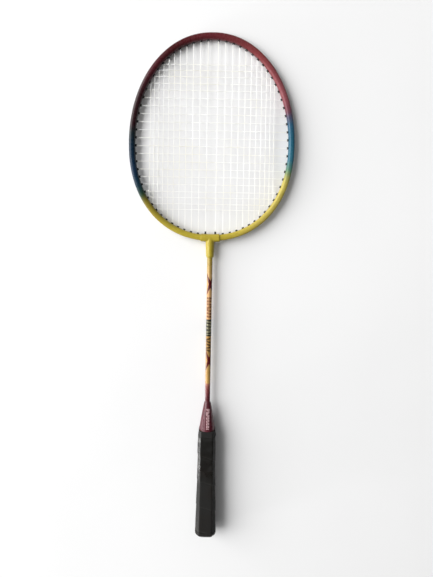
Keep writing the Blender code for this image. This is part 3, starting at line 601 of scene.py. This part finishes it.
def lathe(profile, centre, axis, sides=48, closed=False):
    """Skin turned about an axis from (distance along, radius) points."""
    axis = axis.normalized()
    side_a = axis.cross(UPRIGHT).normalized()
    side_b = axis.cross(side_a)
    rings = []
    for distance, radius in profile:
        ring = []
        for i in range(sides):
            angle = tau * i / sides
            spoke = side_a * cos(angle) + side_b * sin(angle)
            ring.append(centre + axis * distance + spoke * radius)
        rings.append(ring)
    return ring_shell(rings, closed)


def arc(centre, radius, start, end, steps):
    """Points (u, w) on an arc, with angles in degrees."""
    angles = [radians(start + (end - start) * i / steps) for i in range(steps + 1)]
    return [(centre[0] + radius * cos(a), centre[1] + radius * sin(a)) for a in angles]


def sweep(section, turns):
    return [[hoop_place(turn, u, w) for u, w in section] for turn in turns]


def even_steps(first, last, steps):
    return [first + (last - first) * i / steps for i in range(steps + 1)]


# ---- hoop

def tube_section():
    """Outer section of the tube: the groove with rounded lips, then a squarish oval."""
    power = 2 / TUBE_SQUARENESS
    lip_start = 27
    half = [(GROOVE_FLOOR, 0.0), (GROOVE_FLOOR, 0.8 * MM), (GROOVE_FLOOR, 1.5 * MM)]
    half += arc((GROOVE_FLOOR + 0.3 * MM, GROOVE_HALF_WIDTH - 0.3 * MM), 0.3 * MM, 180, 90, 3)
    half += arc((GROOVE_LIP - 0.55 * MM, GROOVE_HALF_WIDTH + 0.3 * MM), 0.3 * MM, -90, 15, 4)
    for step in range(18):
        angle = radians(lip_start + (180 - lip_start) * (step + 0.5) / 17.5)
        u = TUBE_HALF_WIDTH * signed_power(cos(angle), power)
        half.append((u, TUBE_HALF_DEPTH * signed_power(sin(angle), power)))
    lower = [(u, -w) for u, w in reversed(half[1:-1])]
    return half + lower


def oval(half_width, half_depth, sides=24):
    angles = [tau * i / sides for i in range(sides)]
    return [(half_width * cos(angle), half_depth * sin(angle)) for angle in angles]


def hole_skin(turn, radius, start, end, sides=24):
    return lathe([(start, radius), (end, radius)], hoop_point(turn), hoop_directions(turn)[1], sides)


def make_hoop():
    """Hollow tube, open at both cut ends, drilled for every grommet."""
    turns = even_steps(-CUT_END, CUT_END, 360)
    hoop = bare_mesh("hoop_tube", [ring_shell(sweep(tube_section(), turns))])
    overrun = [turns[0] - 0.003] + turns + [turns[-1] + 0.003]
    cut(hoop, [ring_shell(sweep(oval(*TUBE_BORE), overrun))])
    drills = [hole_skin(side * turn, HOLE_RADIUS, -2 * TUBE_HALF_WIDTH, TUBE_HALF_WIDTH + 1 * MM)
              for side in (1, -1) for turn in RIGHT_HOLES]
    cut(hoop, drills)
    dress(hoop, frame_material(), ["head_frame"])


# ---- grommets

def barrel_profile(mouth, seat, bore, radius, flange=None):
    """Closed profile of a bored barrel with a rounded rim; flange puts a collar's face there."""
    rim = (radius - bore) / 2
    profile = [(mouth + rim - u, r) for u, r in arc((0.0, bore + rim), rim, -90, 90, 6)]
    if flange is not None:
        thick, reach = 0.45 * MM, radius + 0.45 * MM
        profile += [(flange - thick, radius), (flange - thick, reach - 0.12 * MM),
                    (flange - thick + 0.12 * MM, reach), (flange, reach), (flange, radius)]
    countersink = 0.2 * MM
    return profile + [(seat, radius), (seat, bore + countersink), (seat - countersink, bore)]


def rail_section():
    corner = 0.18 * MM
    half = arc((RAIL_TOP - corner, RAIL_HALF_WIDTH - corner), corner, 0, 90, 3)
    half += [(RAIL_BOTTOM, RAIL_HALF_WIDTH)]
    return [(RAIL_TOP, 0.0)] + half + [(RAIL_BOTTOM, 0.0)] + [(u, -w) for u, w in reversed(half)]


def make_grommet_strips():
    """Five strips a side: a flat rail in the groove, and a barrel through each hole."""
    material = plastic_material("grommet_black", colour(20, 20, 21), colour(34, 34, 35), 0.42)
    holes = RIGHT_HOLES[:-1]
    middles = [(a + b) / 2 for a, b in zip(RIGHT_HOLES, RIGHT_HOLES[1:])]
    bounds = [0.0] + middles[:-1] + [find_turn(0, RAIL_END_X, QUARTER, HALF, 0.0)]
    per_strip = len(holes) // STRIPS_PER_SIDE
    gap_turn = RAIL_END_GAP / HOOP_HALF_WIDTH
    profile = barrel_profile(MOUTH, RAIL_TOP + 0.06 * MM, BORE_RADIUS, BARREL_RADIUS)
    for side_name, side in SIDES:
        for strip in range(STRIPS_PER_SIDE):
            first, last = strip * per_strip, (strip + 1) * per_strip
            start, end = bounds[first] + gap_turn, bounds[last]
            end -= gap_turn if strip < STRIPS_PER_SIDE - 1 else 0.0
            turns = [side * turn for turn in even_steps(start, end, 36)]
            shells = [ring_shell(sweep(rail_section(), turns))]
            for turn in holes[first:last]:
                outward = hoop_directions(side * turn)[1]
                shells.append(lathe(profile, hoop_point(side * turn), outward, 24, closed=True))
            item = bare_mesh(f"grommets_{side_name}_{strip + 1}", shells)
            dress(item, material, [f"grommet_strip_{side_name}_{strip + 1}"])
    inner_face = -(SLEEVE_OUTSIDE + 0.05 * MM)
    mouth = inner_face - SLEEVE_GROMMET_REACH
    seat = SLEEVE_OUTSIDE + 0.1 * MM
    profile = barrel_profile(mouth, seat, SLEEVE_GROMMET_BORE, SLEEVE_GROMMET_RADIUS, inner_face)
    for side_name, side in SIDES:
        turn = side * BOTTOM_HOLES[0]
        shell = lathe(profile, hoop_point(turn), hoop_directions(turn)[1], 24, closed=True)
        item = bare_mesh(f"sleeve_grommet_{side_name}", [shell])
        dress(item, material, [f"t_grommet_{side_name}"])


# ---- strings

def through_hole(turn, height):
    return [hoop_place(turn, MOUTH - MOUTH_CLEARANCE, height), hoop_place(turn, STRING_SEAT, height)]


def past_sleeve(turn, height):
    sign = copysign(1.0, hoop_point(turn).x)
    over = SLEEVE_OUTSIDE + STRING_RADIUS + 0.15 * MM
    edge = find_turn(0, SLEEVE_HALF_LENGTH + 0.5 * MM, QUARTER, HALF, 0.0) * sign
    inside = -(SLEEVE_OUTSIDE + SLEEVE_GROMMET_REACH + MOUTH_CLEARANCE)
    return [hoop_place(*spot, height) for spot in ((turn, inside), (turn, over), (edge, over))]


def seat_run(turn_a, turn_b, height):
    """Points along the groove between two holes, without the holes themselves."""
    return [hoop_place(turn, STRING_SEAT, height) for turn in even_steps(turn_a, turn_b, 4)[1:-1]]


def cross_level(row):
    return hoop_place(CROSS_HOLES[row], MOUTH - MOUTH_CLEARANCE).y


def main_x_at(index, level):
    top = hoop_place(TOP_HOLES[index], MOUTH - MOUTH_CLEARANCE)
    bottom = hoop_place(BOTTOM_HOLES[index], MOUTH - MOUTH_CLEARANCE)
    return bottom.x + (top.x - bottom.x) * (level - bottom.y) / (top.y - bottom.y)


def meet(index, row):
    """Whether a main of either side is crossed by this row."""
    level, margin = cross_level(row), 2.0 * MM
    top, bottom = hoop_place(TOP_HOLES[index], MOUTH).y, hoop_place(BOTTOM_HOLES[index], MOUTH).y
    reach = hoop_place(CROSS_HOLES[row], MOUTH).x
    return bottom + margin < level < top - margin and main_x_at(index, level) < reach - margin


def main_of(column):
    """Side and index of a main; columns run from 0 at the far left."""
    if column < MAINS_PER_SIDE:
        return -1, MAINS_PER_SIDE - 1 - column
    return 1, column - MAINS_PER_SIDE


def cross_is_above(column, row):
    """The weave alternates both ways."""
    return (column + row) % 2 == 1


def woven(points):
    """Smooth wave through points that lie at the crossings."""
    path = [points[0]]
    for here, there in zip(points, points[1:]):
        for step in range(1, WEAVE_STEPS + 1):
            part = step / WEAVE_STEPS
            point = here.lerp(there, part)
            point.z = here.z + (there.z - here.z) * (1 - cos(pi * part)) / 2
            path.append(point)
    return path


def rounded(points, radius, steps=4):
    """Path whose sharp corners are replaced by short curves."""
    path = [points[0]]
    for before, corner, after in zip(points, points[1:], points[2:]):
        into, out = corner - before, after - corner
        if into.angle(out, 0.0) < 0.25:
            path.append(corner)
            continue
        start = corner - into.normalized() * min(radius, into.length * 0.45)
        end = corner + out.normalized() * min(radius, out.length * 0.45)
        for step in range(steps + 1):
            part = step / steps
            path.append(start.lerp(corner, part).lerp(corner.lerp(end, part), part))
    return path + [points[-1]]


def string_skin(path):
    """Round tube along a path, with rings that stay upright where the path is level."""
    rings = []
    side = Vector((1.0, 0.0, 0.0))
    for i, point in enumerate(path):
        heading = (path[min(i + 1, len(path) - 1)] - path[max(i - 1, 0)]).normalized()
        side = (side - heading * side.dot(heading)).normalized()
        lift = side.cross(heading)
        ring = []
        for j in range(STRING_SIDES):
            angle = tau * j / STRING_SIDES
            ring.append(point + (side * cos(angle) + lift * sin(angle)) * STRING_RADIUS)
        rings.append(ring)
    return ring_shell(rings)


def tie_off(turn_from, turn_to, height, heading):
    """End of a string: along the groove, in through the next hole, and wound round its partner."""
    points = seat_run(turn_from, turn_to, height) + through_hole(turn_to, height)[::-1]
    axis_start = hoop_place(turn_to, MOUTH - 1.2 * MM, -height * 0.4)
    side = heading.cross(UPRIGHT)
    coil, turns, steps = 2.15 * STRING_RADIUS, 3, 36  # the coil's radius is its pitch as well
    for step in range(steps + 1):
        wound = turns * step / steps
        around = UPRIGHT * cos(tau * wound) + side * sin(tau * wound)
        points.append(axis_start + heading * (0.9 * MM + coil * wound) + around * coil)
    return points + [points[-1] + (heading * 2.2 + side * 1.6 + UPRIGHT * 0.5) * MM]


def make_main_string():
    """Up the leftmost main, over the top, down the next, and so on, tied off at both ends."""
    route = []
    previous, previous_index = 0.0, 0
    for column in range(2 * MAINS_PER_SIDE):
        side, index = main_of(column)
        top, bottom = TOP_HOLES[index] * side, BOTTOM_HOLES[index] * side
        rows = sorted((row for row in range(len(CROSS_HOLES)) if meet(index, row)), key=cross_level)
        bed = []
        for row in rows:
            level = cross_level(row)
            rise = -MAIN_RISE if cross_is_above(column, row) else MAIN_RISE
            bed.append(Vector((main_x_at(index, level) * side, level, rise)))
        at_bottom = past_sleeve if index == 0 else through_hole
        stretch = at_bottom(bottom, LANE_HEIGHT)[::-1] + woven(bed) + through_hole(top, LANE_HEIGHT)
        upwards = column % 2 == 0
        entry, leave = (bottom, top) if upwards else (top, bottom)
        if column and (entry == top or 0 not in (index, previous_index)):
            route += seat_run(previous, entry, LANE_HEIGHT)
        route += stretch if upwards else stretch[::-1]
        previous, previous_index = leave, index
    ends = []
    for side in (-1, 1):
        inwards = Vector((-side, 0.0, 0.0))
        ends.append(tie_off(BOTTOM_HOLES[-1] * side, SIDE_HOLES[-1] * side, LANE_HEIGHT, inwards))
    return string_skin(rounded(ends[0][::-1] + route + ends[1], STRING_BEND))


def make_cross_string():
    """Along the top cross to the right, down the groove, back to the left, and so on."""
    route = []
    for row, turn in enumerate(CROSS_HOLES):
        level = cross_level(row)
        bed = []
        for column in range(2 * MAINS_PER_SIDE):
            side, index = main_of(column)
            if meet(index, row):
                rise = CROSS_RISE if cross_is_above(column, row) else -CROSS_RISE
                bed.append(Vector((main_x_at(index, level) * side, level, rise)))
        left, right = through_hole(-turn, -LANE_HEIGHT), through_hole(turn, -LANE_HEIGHT)
        stretch = left[::-1] + woven(bed) + right
        heading_right = row % 2 == 0
        if row:
            side = -1 if heading_right else 1
            route += seat_run(side * CROSS_HOLES[row - 1], side * turn, -LANE_HEIGHT)
        route += stretch if heading_right else stretch[::-1]
    first, last = SHARED_TOP[0], SHARED_BOTTOM[-1]
    start = tie_off(-TOP_HOLES[first], -TOP_HOLES[first - 1], -LANE_HEIGHT, TO_BUTT)
    end = tie_off(BOTTOM_HOLES[last], BOTTOM_HOLES[last - 1], -LANE_HEIGHT, -TO_BUTT)
    return string_skin(rounded(start[::-1] + route + end, STRING_BEND))


def make_strings():
    material = string_material()
    for name, skin, node in (("mains_strung", make_main_string(), "main_string"),
                             ("crosses_strung", make_cross_string(), "cross_string")):
        dress(bare_mesh(name, [skin]), material, [node], 60)


# ---- T-joint

def sleeve_section(growth, sides=40):
    """The tube's squarish oval, grown and without its groove."""
    power = 2 / TUBE_SQUARENESS
    half_width, half_depth = TUBE_HALF_WIDTH + growth, TUBE_HALF_DEPTH + growth
    section = []
    for i in range(sides):
        angle = tau * i / sides
        section.append((half_width * signed_power(cos(angle), power),
                        half_depth * signed_power(sin(angle), power)))
    return section


def make_t_joint():
    """Cast sleeve and stem with soft fillets, hollow for the hoop and the shaft."""
    bottom = hoop_point(HALF)
    last = find_turn(0, SLEEVE_HALF_LENGTH, QUARTER, HALF, 0.0)
    turns = even_steps(last, tau - last, 16)
    sleeve = ring_shell(sweep(sleeve_section(SLEEVE_GAP + SLEEVE_WALL), turns))
    stem = lathe(STEM_PROFILE, bottom, TO_BUTT)
    joint = bare_mesh("t_joint_cast", [sleeve, stem])
    melt = joint.modifiers.new("melt", "REMESH")
    melt.mode = "VOXEL"
    melt.voxel_size = 0.33 * MM
    soften = joint.modifiers.new("soften", "SMOOTH")
    soften.factor = 0.5
    soften.iterations = 7
    bake_modifiers(joint)
    start = last - 0.02
    tunnel = sweep(sleeve_section(SLEEVE_GAP), even_steps(start, tau - start, 18))
    bore_radius = SHAFT_RADIUS + 0.08 * MM
    bore = lathe([(STEM_BLIND, bore_radius), (STEM_LENGTH + 1 * MM, bore_radius)], bottom, TO_BUTT)
    inner, outer = -3 * TUBE_HALF_WIDTH, 2.2 * TUBE_HALF_WIDTH
    holes = [hole_skin(side * BOTTOM_HOLES[0], HOLE_RADIUS, inner, outer) for side in (1, -1)]
    cut(joint, [ring_shell(tunnel)])
    cut(joint, [bore])
    cut(joint, holes)
    dress(joint, yellow_material(), ["t_joint"], 40)


# ---- shaft and cone cap

def make_shaft():
    low, high = span("shaft")
    inner = SHAFT_RADIUS - SHAFT_WALL
    soft = 0.12 * MM
    steps = 40
    length = high - low
    outside = [(soft + (length - 2 * soft) * i / steps, SHAFT_RADIUS) for i in range(steps + 1)]
    profile = [(0.0, inner), (0.0, SHAFT_RADIUS - soft)] + outside
    profile += [(length, SHAFT_RADIUS - soft), (length, inner)]
    shell = lathe(profile, Vector((0.0, high, 0.0)), TO_BUTT, 56, closed=True)
    dress(bare_mesh("shaft_tube", [shell]), shaft_material(), ["shaft"], 50)


def make_cone():
    """Tapered cap with a rolled lip at its tip and a small bead round its base."""
    low, high = span("cone_cap")
    length = high - low
    tip, base, curve, lip = 3.98 * MM, 10.9 * MM, 0.85, 0.35 * MM
    outside = [(lip * part, tip - lip * (1 - part)) for part in (0.0, 0.4, 0.75)]
    steps, slope_end = 30, 0.955
    for i in range(1, steps + 1):
        part = i / steps * slope_end
        outside.append((length * part, tip + (base - tip) * part ** curve))
    edge = outside[-1][1]
    bead = ((0.962, -0.22), (0.972, -0.2), (0.98, 0.12), (0.99, 0.2), (1.0, 0.05))
    outside += [(length * share, edge + swell * MM) for share, swell in bead]
    bore, hollow = SHAFT_RADIUS + 0.06 * MM, base - 1.6 * MM
    inside = [(length, hollow), (length * 0.66, hollow * 0.86), (length * 0.3, bore), (0.0, bore)]
    shell = lathe(outside + inside, Vector((0.0, high, 0.0)), TO_BUTT, 72, closed=True)
    dress(bare_mesh("cone_cap_moulded", [shell]), cone_material(), ["cone_cap"], 40)


# ---- handle

def octagon_outline(growth, radius, arc_steps=5, flat_steps=6):
    """Points (x, z, share of the way round) of the core's octagon, grown, with rounded corners."""
    width, depth = CORE_SIZE
    a, b = width / 2 + growth, depth / 2 + growth
    chamfer = CORE_CHAMFER + CHAMFER_GROWTH * growth
    c, d = a - chamfer, b - chamfer
    right = [(c, b), (a, d), (a, -d), (c, -b)]
    corners = [Vector(corner) for corner in right + [(-x, z) for x, z in right[::-1]]]
    trim = radius * tan(radians(22.5))
    points = []
    for i, corner in enumerate(corners):
        into, out = (corner - corners[i - 1]).normalized(), (corners[(i + 1) % 8] - corner).normalized()
        start, end = corner - into * trim, corner + out * trim
        for step in range(arc_steps + 1):
            part = step / arc_steps
            points.append(start.lerp(corner, part).lerp(corner.lerp(end, part), part))
        after = corners[(i + 1) % 8] - out * trim
        points += [end.lerp(after, step / flat_steps) for step in range(1, flat_steps)]
    lengths = [0.0]
    for here, there in zip(points, points[1:] + points[:1]):
        lengths.append(lengths[-1] + (there - here).length)
    return [(point.x, point.y, reach / lengths[-1]) for point, reach in zip(points, lengths)]


def smooth_step(value):
    value = min(max(value, 0.0), 1.0)
    return value * value * (3 - 2 * value)


def flare(y):
    return FLARE_GROWTH * smooth_step((FLARE_START - y) / (FLARE_START - FLARE_END))


def tape_profile():
    """(share of the pitch, thickness) across one turn of tape, from the last turn to its own edge."""
    edge, hem, hem_width, hem_depth, belly = 0.75 * MM, 2.4 * MM, 0.5 * MM, 0.16 * MM, 0.14 * MM
    shares = [0.0, 0.006, 0.014, 0.03, 0.06, 0.12, 0.2, 0.3, 0.4, 0.5, 0.6, 0.7, 0.78, 0.85, 0.895,
              1 - (hem + hem_width) / WRAP_PITCH, 1 - hem / WRAP_PITCH,
              1 - (hem - hem_width) / WRAP_PITCH,
              0.965, 0.98, 0.987, 0.992, 0.996, 0.999]
    profile = []
    for share in shares:
        thickness = WRAP_THIN + (WRAP_THICK - WRAP_THIN) * share + belly * sin(pi * share)
        from_edge = (1 - share) * WRAP_PITCH
        if from_edge < edge:
            thickness -= edge * (1 - sqrt(max(0.0, 1 - (1 - from_edge / edge) ** 2)))
        if abs(from_edge - hem) < hem_width / 2:
            thickness -= hem_depth
        profile.append((share, thickness))
    return profile


OUTLINES_MADE = {}


def tape_outline(growth):
    """Rounded octagon for a growth, kept so that equal ones are worked out once."""
    fineness = 0.002 * MM
    key = round(growth / fineness)
    if key not in OUTLINES_MADE:
        OUTLINES_MADE[key] = octagon_outline(key * fineness, TAPE_CORNER)
    return OUTLINES_MADE[key]


def make_grip():
    """Tape wound down the handle in one spiral, each turn lapping over the one before it."""
    low, high = span("grip_wrap")
    profile = tape_profile()
    shares_round = [share for _, _, share in tape_outline(0.0)]
    columns = len(shares_round)
    turns = int((high - low) / WRAP_PITCH) + 4
    start = high + WRAP_PITCH * WRAP_LEAD
    spare = WRAP_PITCH * 0.3
    bm = bmesh.new()
    strands = []
    for strand in range(turns * columns):
        column = strand % columns
        lag = WRAP_WAVE * sin(2 * tau * (shares_round[column] - WRAP_WAVE_START))
        top = start - WRAP_PITCH * (strand // columns + shares_round[column] + lag)
        row = []
        for share, thickness in profile:
            y = top - WRAP_PITCH * share
            growth = thickness
            if low - spare < y < high + spare:
                growth += flare(y) - WRAP_PULL * (1 - smooth_step((high - y) / WRAP_PULL_LENGTH))
            x, z, _ = tape_outline(growth)[column]
            row.append(bm.verts.new((x, y, z)))
        strands.append(row)
    for strand, (here, there) in enumerate(zip(strands, strands[1:])):
        for i in range(len(profile) - 1):
            bm.faces.new((here[i], there[i], there[i + 1], here[i + 1]))
        if strand + columns + 1 < len(strands):
            below, below_next = strands[strand + columns], strands[strand + columns + 1]
            bm.faces.new((here[-1], there[-1], below_next[0], below[0]))
    for y, sign in ((high, 1.0), (low, -1.0)):
        everything = bm.verts[:] + bm.edges[:] + bm.faces[:]
        sliced = bmesh.ops.bisect_plane(bm, geom=everything, dist=1e-7, plane_co=(0.0, y, 0.0),
                                        plane_no=(0.0, sign, 0.0), clear_outer=True)
        edges = [edge for edge in sliced["geom_cut"] if isinstance(edge, bmesh.types.BMEdge)]
        bmesh.ops.triangle_fill(bm, use_beauty=True, edges=edges)
    bmesh.ops.recalc_face_normals(bm, faces=bm.faces)
    bmesh.ops.translate(bm, verts=bm.verts, vec=HEAD_CENTRE)
    mesh = bpy.data.meshes.new("grip_tape_wound")
    bm.to_mesh(mesh)
    bm.free()
    grip = add_item("grip_tape_wound", mesh)
    hollow = []
    for y in even_steps(high + 2 * MM, FLARE_START, 2) + even_steps(FLARE_START, low - 2 * MM, 8)[1:]:
        hollow.append([Vector((x, y, z)) for x, z, _ in tape_outline(0.15 * MM + flare(y))])
    cut(grip, [ring_shell(hollow)])
    dress(grip, grip_material(), ["grip_wrap"], 50)


def octagon_band(profile):
    """Closed ring round the handle from a closed (y, growth) profile."""
    rings = []
    for y, growth in profile:
        rings.append([Vector((x, y, z)) for x, z, _ in octagon_outline(growth, BAND_CORNER)])
    return ring_shell(rings, closed=True)


def make_finishing_band():
    """Ribbed elastic band that closes the top of the tape."""
    low, high = span("grip_finishing_band")
    lip, low = high + 0.34 * MM, low - 0.26 * MM
    ribs, height = 9, 0.1 * MM
    outside = []
    for step in range(ribs * 8 + 1):
        part = step / (ribs * 8)
        crest = sin(pi * ribs * part) ** 2
        edge = 0.45 * MM * max(0.0, 1 - part * 9) ** 2
        outside.append((high - (high - low) * part, (0.3 + 0.4 * part) * MM + height * crest - edge))
    step_up, inside = high + 0.06 * MM, -1.3 * MM
    shoulder = [(step_up, 0.15 * MM), (step_up, inside), (lip, inside), (lip, -0.1 * MM)]
    profile = [(low, 0.1 * MM)] + shoulder + outside
    material = plastic_material("band_rubber", colour(15, 14, 13), colour(24, 22, 20), 0.55, 2200)
    band = bare_mesh("finishing_band_ribbed", [octagon_band(profile)])
    dress(band, material, ["grip_finishing_band"])


def make_butt_cap():
    """Moulded end cap: rounded octagon with a shallow plain ring sunk in its end."""
    low, high = span("butt_cap")
    top = high - BUTT_SKIRT
    length = top - low
    half_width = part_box("butt_cap")[1].x
    growth = half_width - CORE_SIZE[0] / 2
    rings = []

    def add(y, inset, roundness=0.0):
        outline = octagon_outline(growth - inset, CAP_CORNER)
        ring = []
        for x, z, _ in outline:
            disc = Vector((x, z)).normalized() * (half_width - inset)
            flat = Vector((x, z)).lerp(disc, roundness)
            ring.append(Vector((flat.x, y, flat.y)))
        rings.append(ring)

    boss_inset = half_width - 5.0 * MM
    add(high, boss_inset, 1.0)
    add(top, boss_inset, 1.0)
    add(top, 0.5 * MM)
    for part in (0.25, 0.6, 1.0):
        add(top - 0.4 * MM * part, 0.5 * MM * (1 - part) ** 2)
    add(top - length * 0.12, 0.0)
    rounding, steps = length * 0.86, 10
    for step in range(1, steps + 1):
        angle = QUARTER * step / steps
        inset = BUTT_ROUNDING * (1 - cos(angle))
        add(low + rounding * (1 - sin(angle)), inset, 0.5 * (step / steps) ** 2)
    end_ring = ((0.1, 0.0, 0.8), (0.6, 0.0, 1.0), (0.75, 0.12, 1.0), (0.95, 0.35, 1.0), (1.6, 0.35, 1.0),
                (1.8, 0.12, 1.0), (1.95, 0.0, 1.0), (2.9, 0.0, 1.0))
    for reach, depth, roundness in end_ring:
        add(low + depth * MM, BUTT_ROUNDING + reach * MM, roundness)
    material = plastic_material("cap_black", colour(18, 17, 15), colour(30, 28, 25), 0.5)
    cap = bare_mesh("butt_cap_moulded", [ring_shell(rings)])
    dress(cap, material, ["butt_cap"], 40)


# ---- inner pieces kept from the CAD part

def dress_inner_nodes():
    grey = plastic_material("spigot_grey", colour(70, 70, 72), colour(88, 88, 90), 0.55)
    for node, material in (("joint_spigot", grey), ("handle_core", wood_material())):
        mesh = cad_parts[node].data
        mesh.materials.clear()
        mesh.materials.append(material)


# ---- floor, light and camera

def make_floor():
    """Pale floor that touches the butt cap's underside and the top of the hoop."""
    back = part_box("butt_cap")[1].y - BUTT_SKIRT
    rise = HOOP_LOW.z / (HOOP_HIGH.y - TUBE_HALF_WIDTH - back)
    mesh = bpy.data.meshes.new("floor")
    corners = []
    for x, y in ((-1, -1), (1, -1), (1, 1), (-1, 1)):
        height = (y * FLOOR_REACH - back) * rise - FLOOR_CLEARANCE
        corners.append((x * FLOOR_REACH, y * FLOOR_REACH, height))
    mesh.from_pydata(corners, [], [(0, 1, 2, 3)])
    floor = add_item("floor", mesh)
    graph = Graph("floor_paper", roughness=0.9)
    mottle = graph.patches(3, 3, 0.3, 0.7)
    mesh.materials.append(graph.done(graph.mix(mottle, colour(231, 231, 231), colour(228, 228, 228))))


def add_lamp(name, location, size, power):
    light = bpy.data.lights.new(name, "AREA")
    light.size = size
    light.energy = power
    lamp = add_item(name, light)
    lamp.location = location
    lamp.rotation_euler = (-Vector(location)).to_track_quat("-Z", "Y").to_euler()


def make_light():
    """A large soft window and a small low one at the left; the room is dim overhead and at the right."""
    world = bpy.data.worlds.new("studio")
    bpy.context.scene.world = world
    world.use_nodes = True
    tree = world.node_tree
    sky = add_node(tree, "TexCoord", {}, "Generated")
    facing = add_node(tree, "VectorMath", {0: sky, 1: BRIGHT_SIDE}, "Value", operation="DOT_PRODUCT")
    room = map_range(tree, facing, -0.9, 0.9, ROOM_DIM, ROOM_BRIGHT)
    seen = add_node(tree, "LightPath", {}, "Is Camera Ray")
    strength = add_node(tree, "Mix", {"Factor": seen, "A": room, "B": BACKDROP}, "Result")
    feed(tree, tree.nodes["Background"].inputs["Strength"], strength)
    tree.nodes["Background"].inputs["Color"].default_value = (1.0, 1.0, 1.0, 1.0)
    add_lamp("window", *WINDOW)
    add_lamp("low_window", *LOW_WINDOW)
    bpy.context.scene.view_settings.view_transform = "Standard"


def make_camera():
    """Phone-like view from above the head, tipped towards the handle."""
    camera = bpy.data.cameras.new("camera")
    camera.sensor_fit = "VERTICAL"
    camera.sensor_height = CAMERA_SENSOR
    camera.lens = CAMERA_LENS
    camera.clip_start = 0.01
    item = add_item("camera", camera)
    item.location = place(CAMERA_PLACE)
    item.rotation_mode = "ZYX"
    item.rotation_euler = [radians(angle) for angle in CAMERA_TILT]
    bpy.context.scene.camera = item


make_camera()
make_light()
make_floor()
make_hoop()
make_grommet_strips()
make_strings()
make_t_joint()
make_shaft()
make_cone()
make_grip()
make_finishing_band()
make_butt_cap()
dress_inner_nodes()
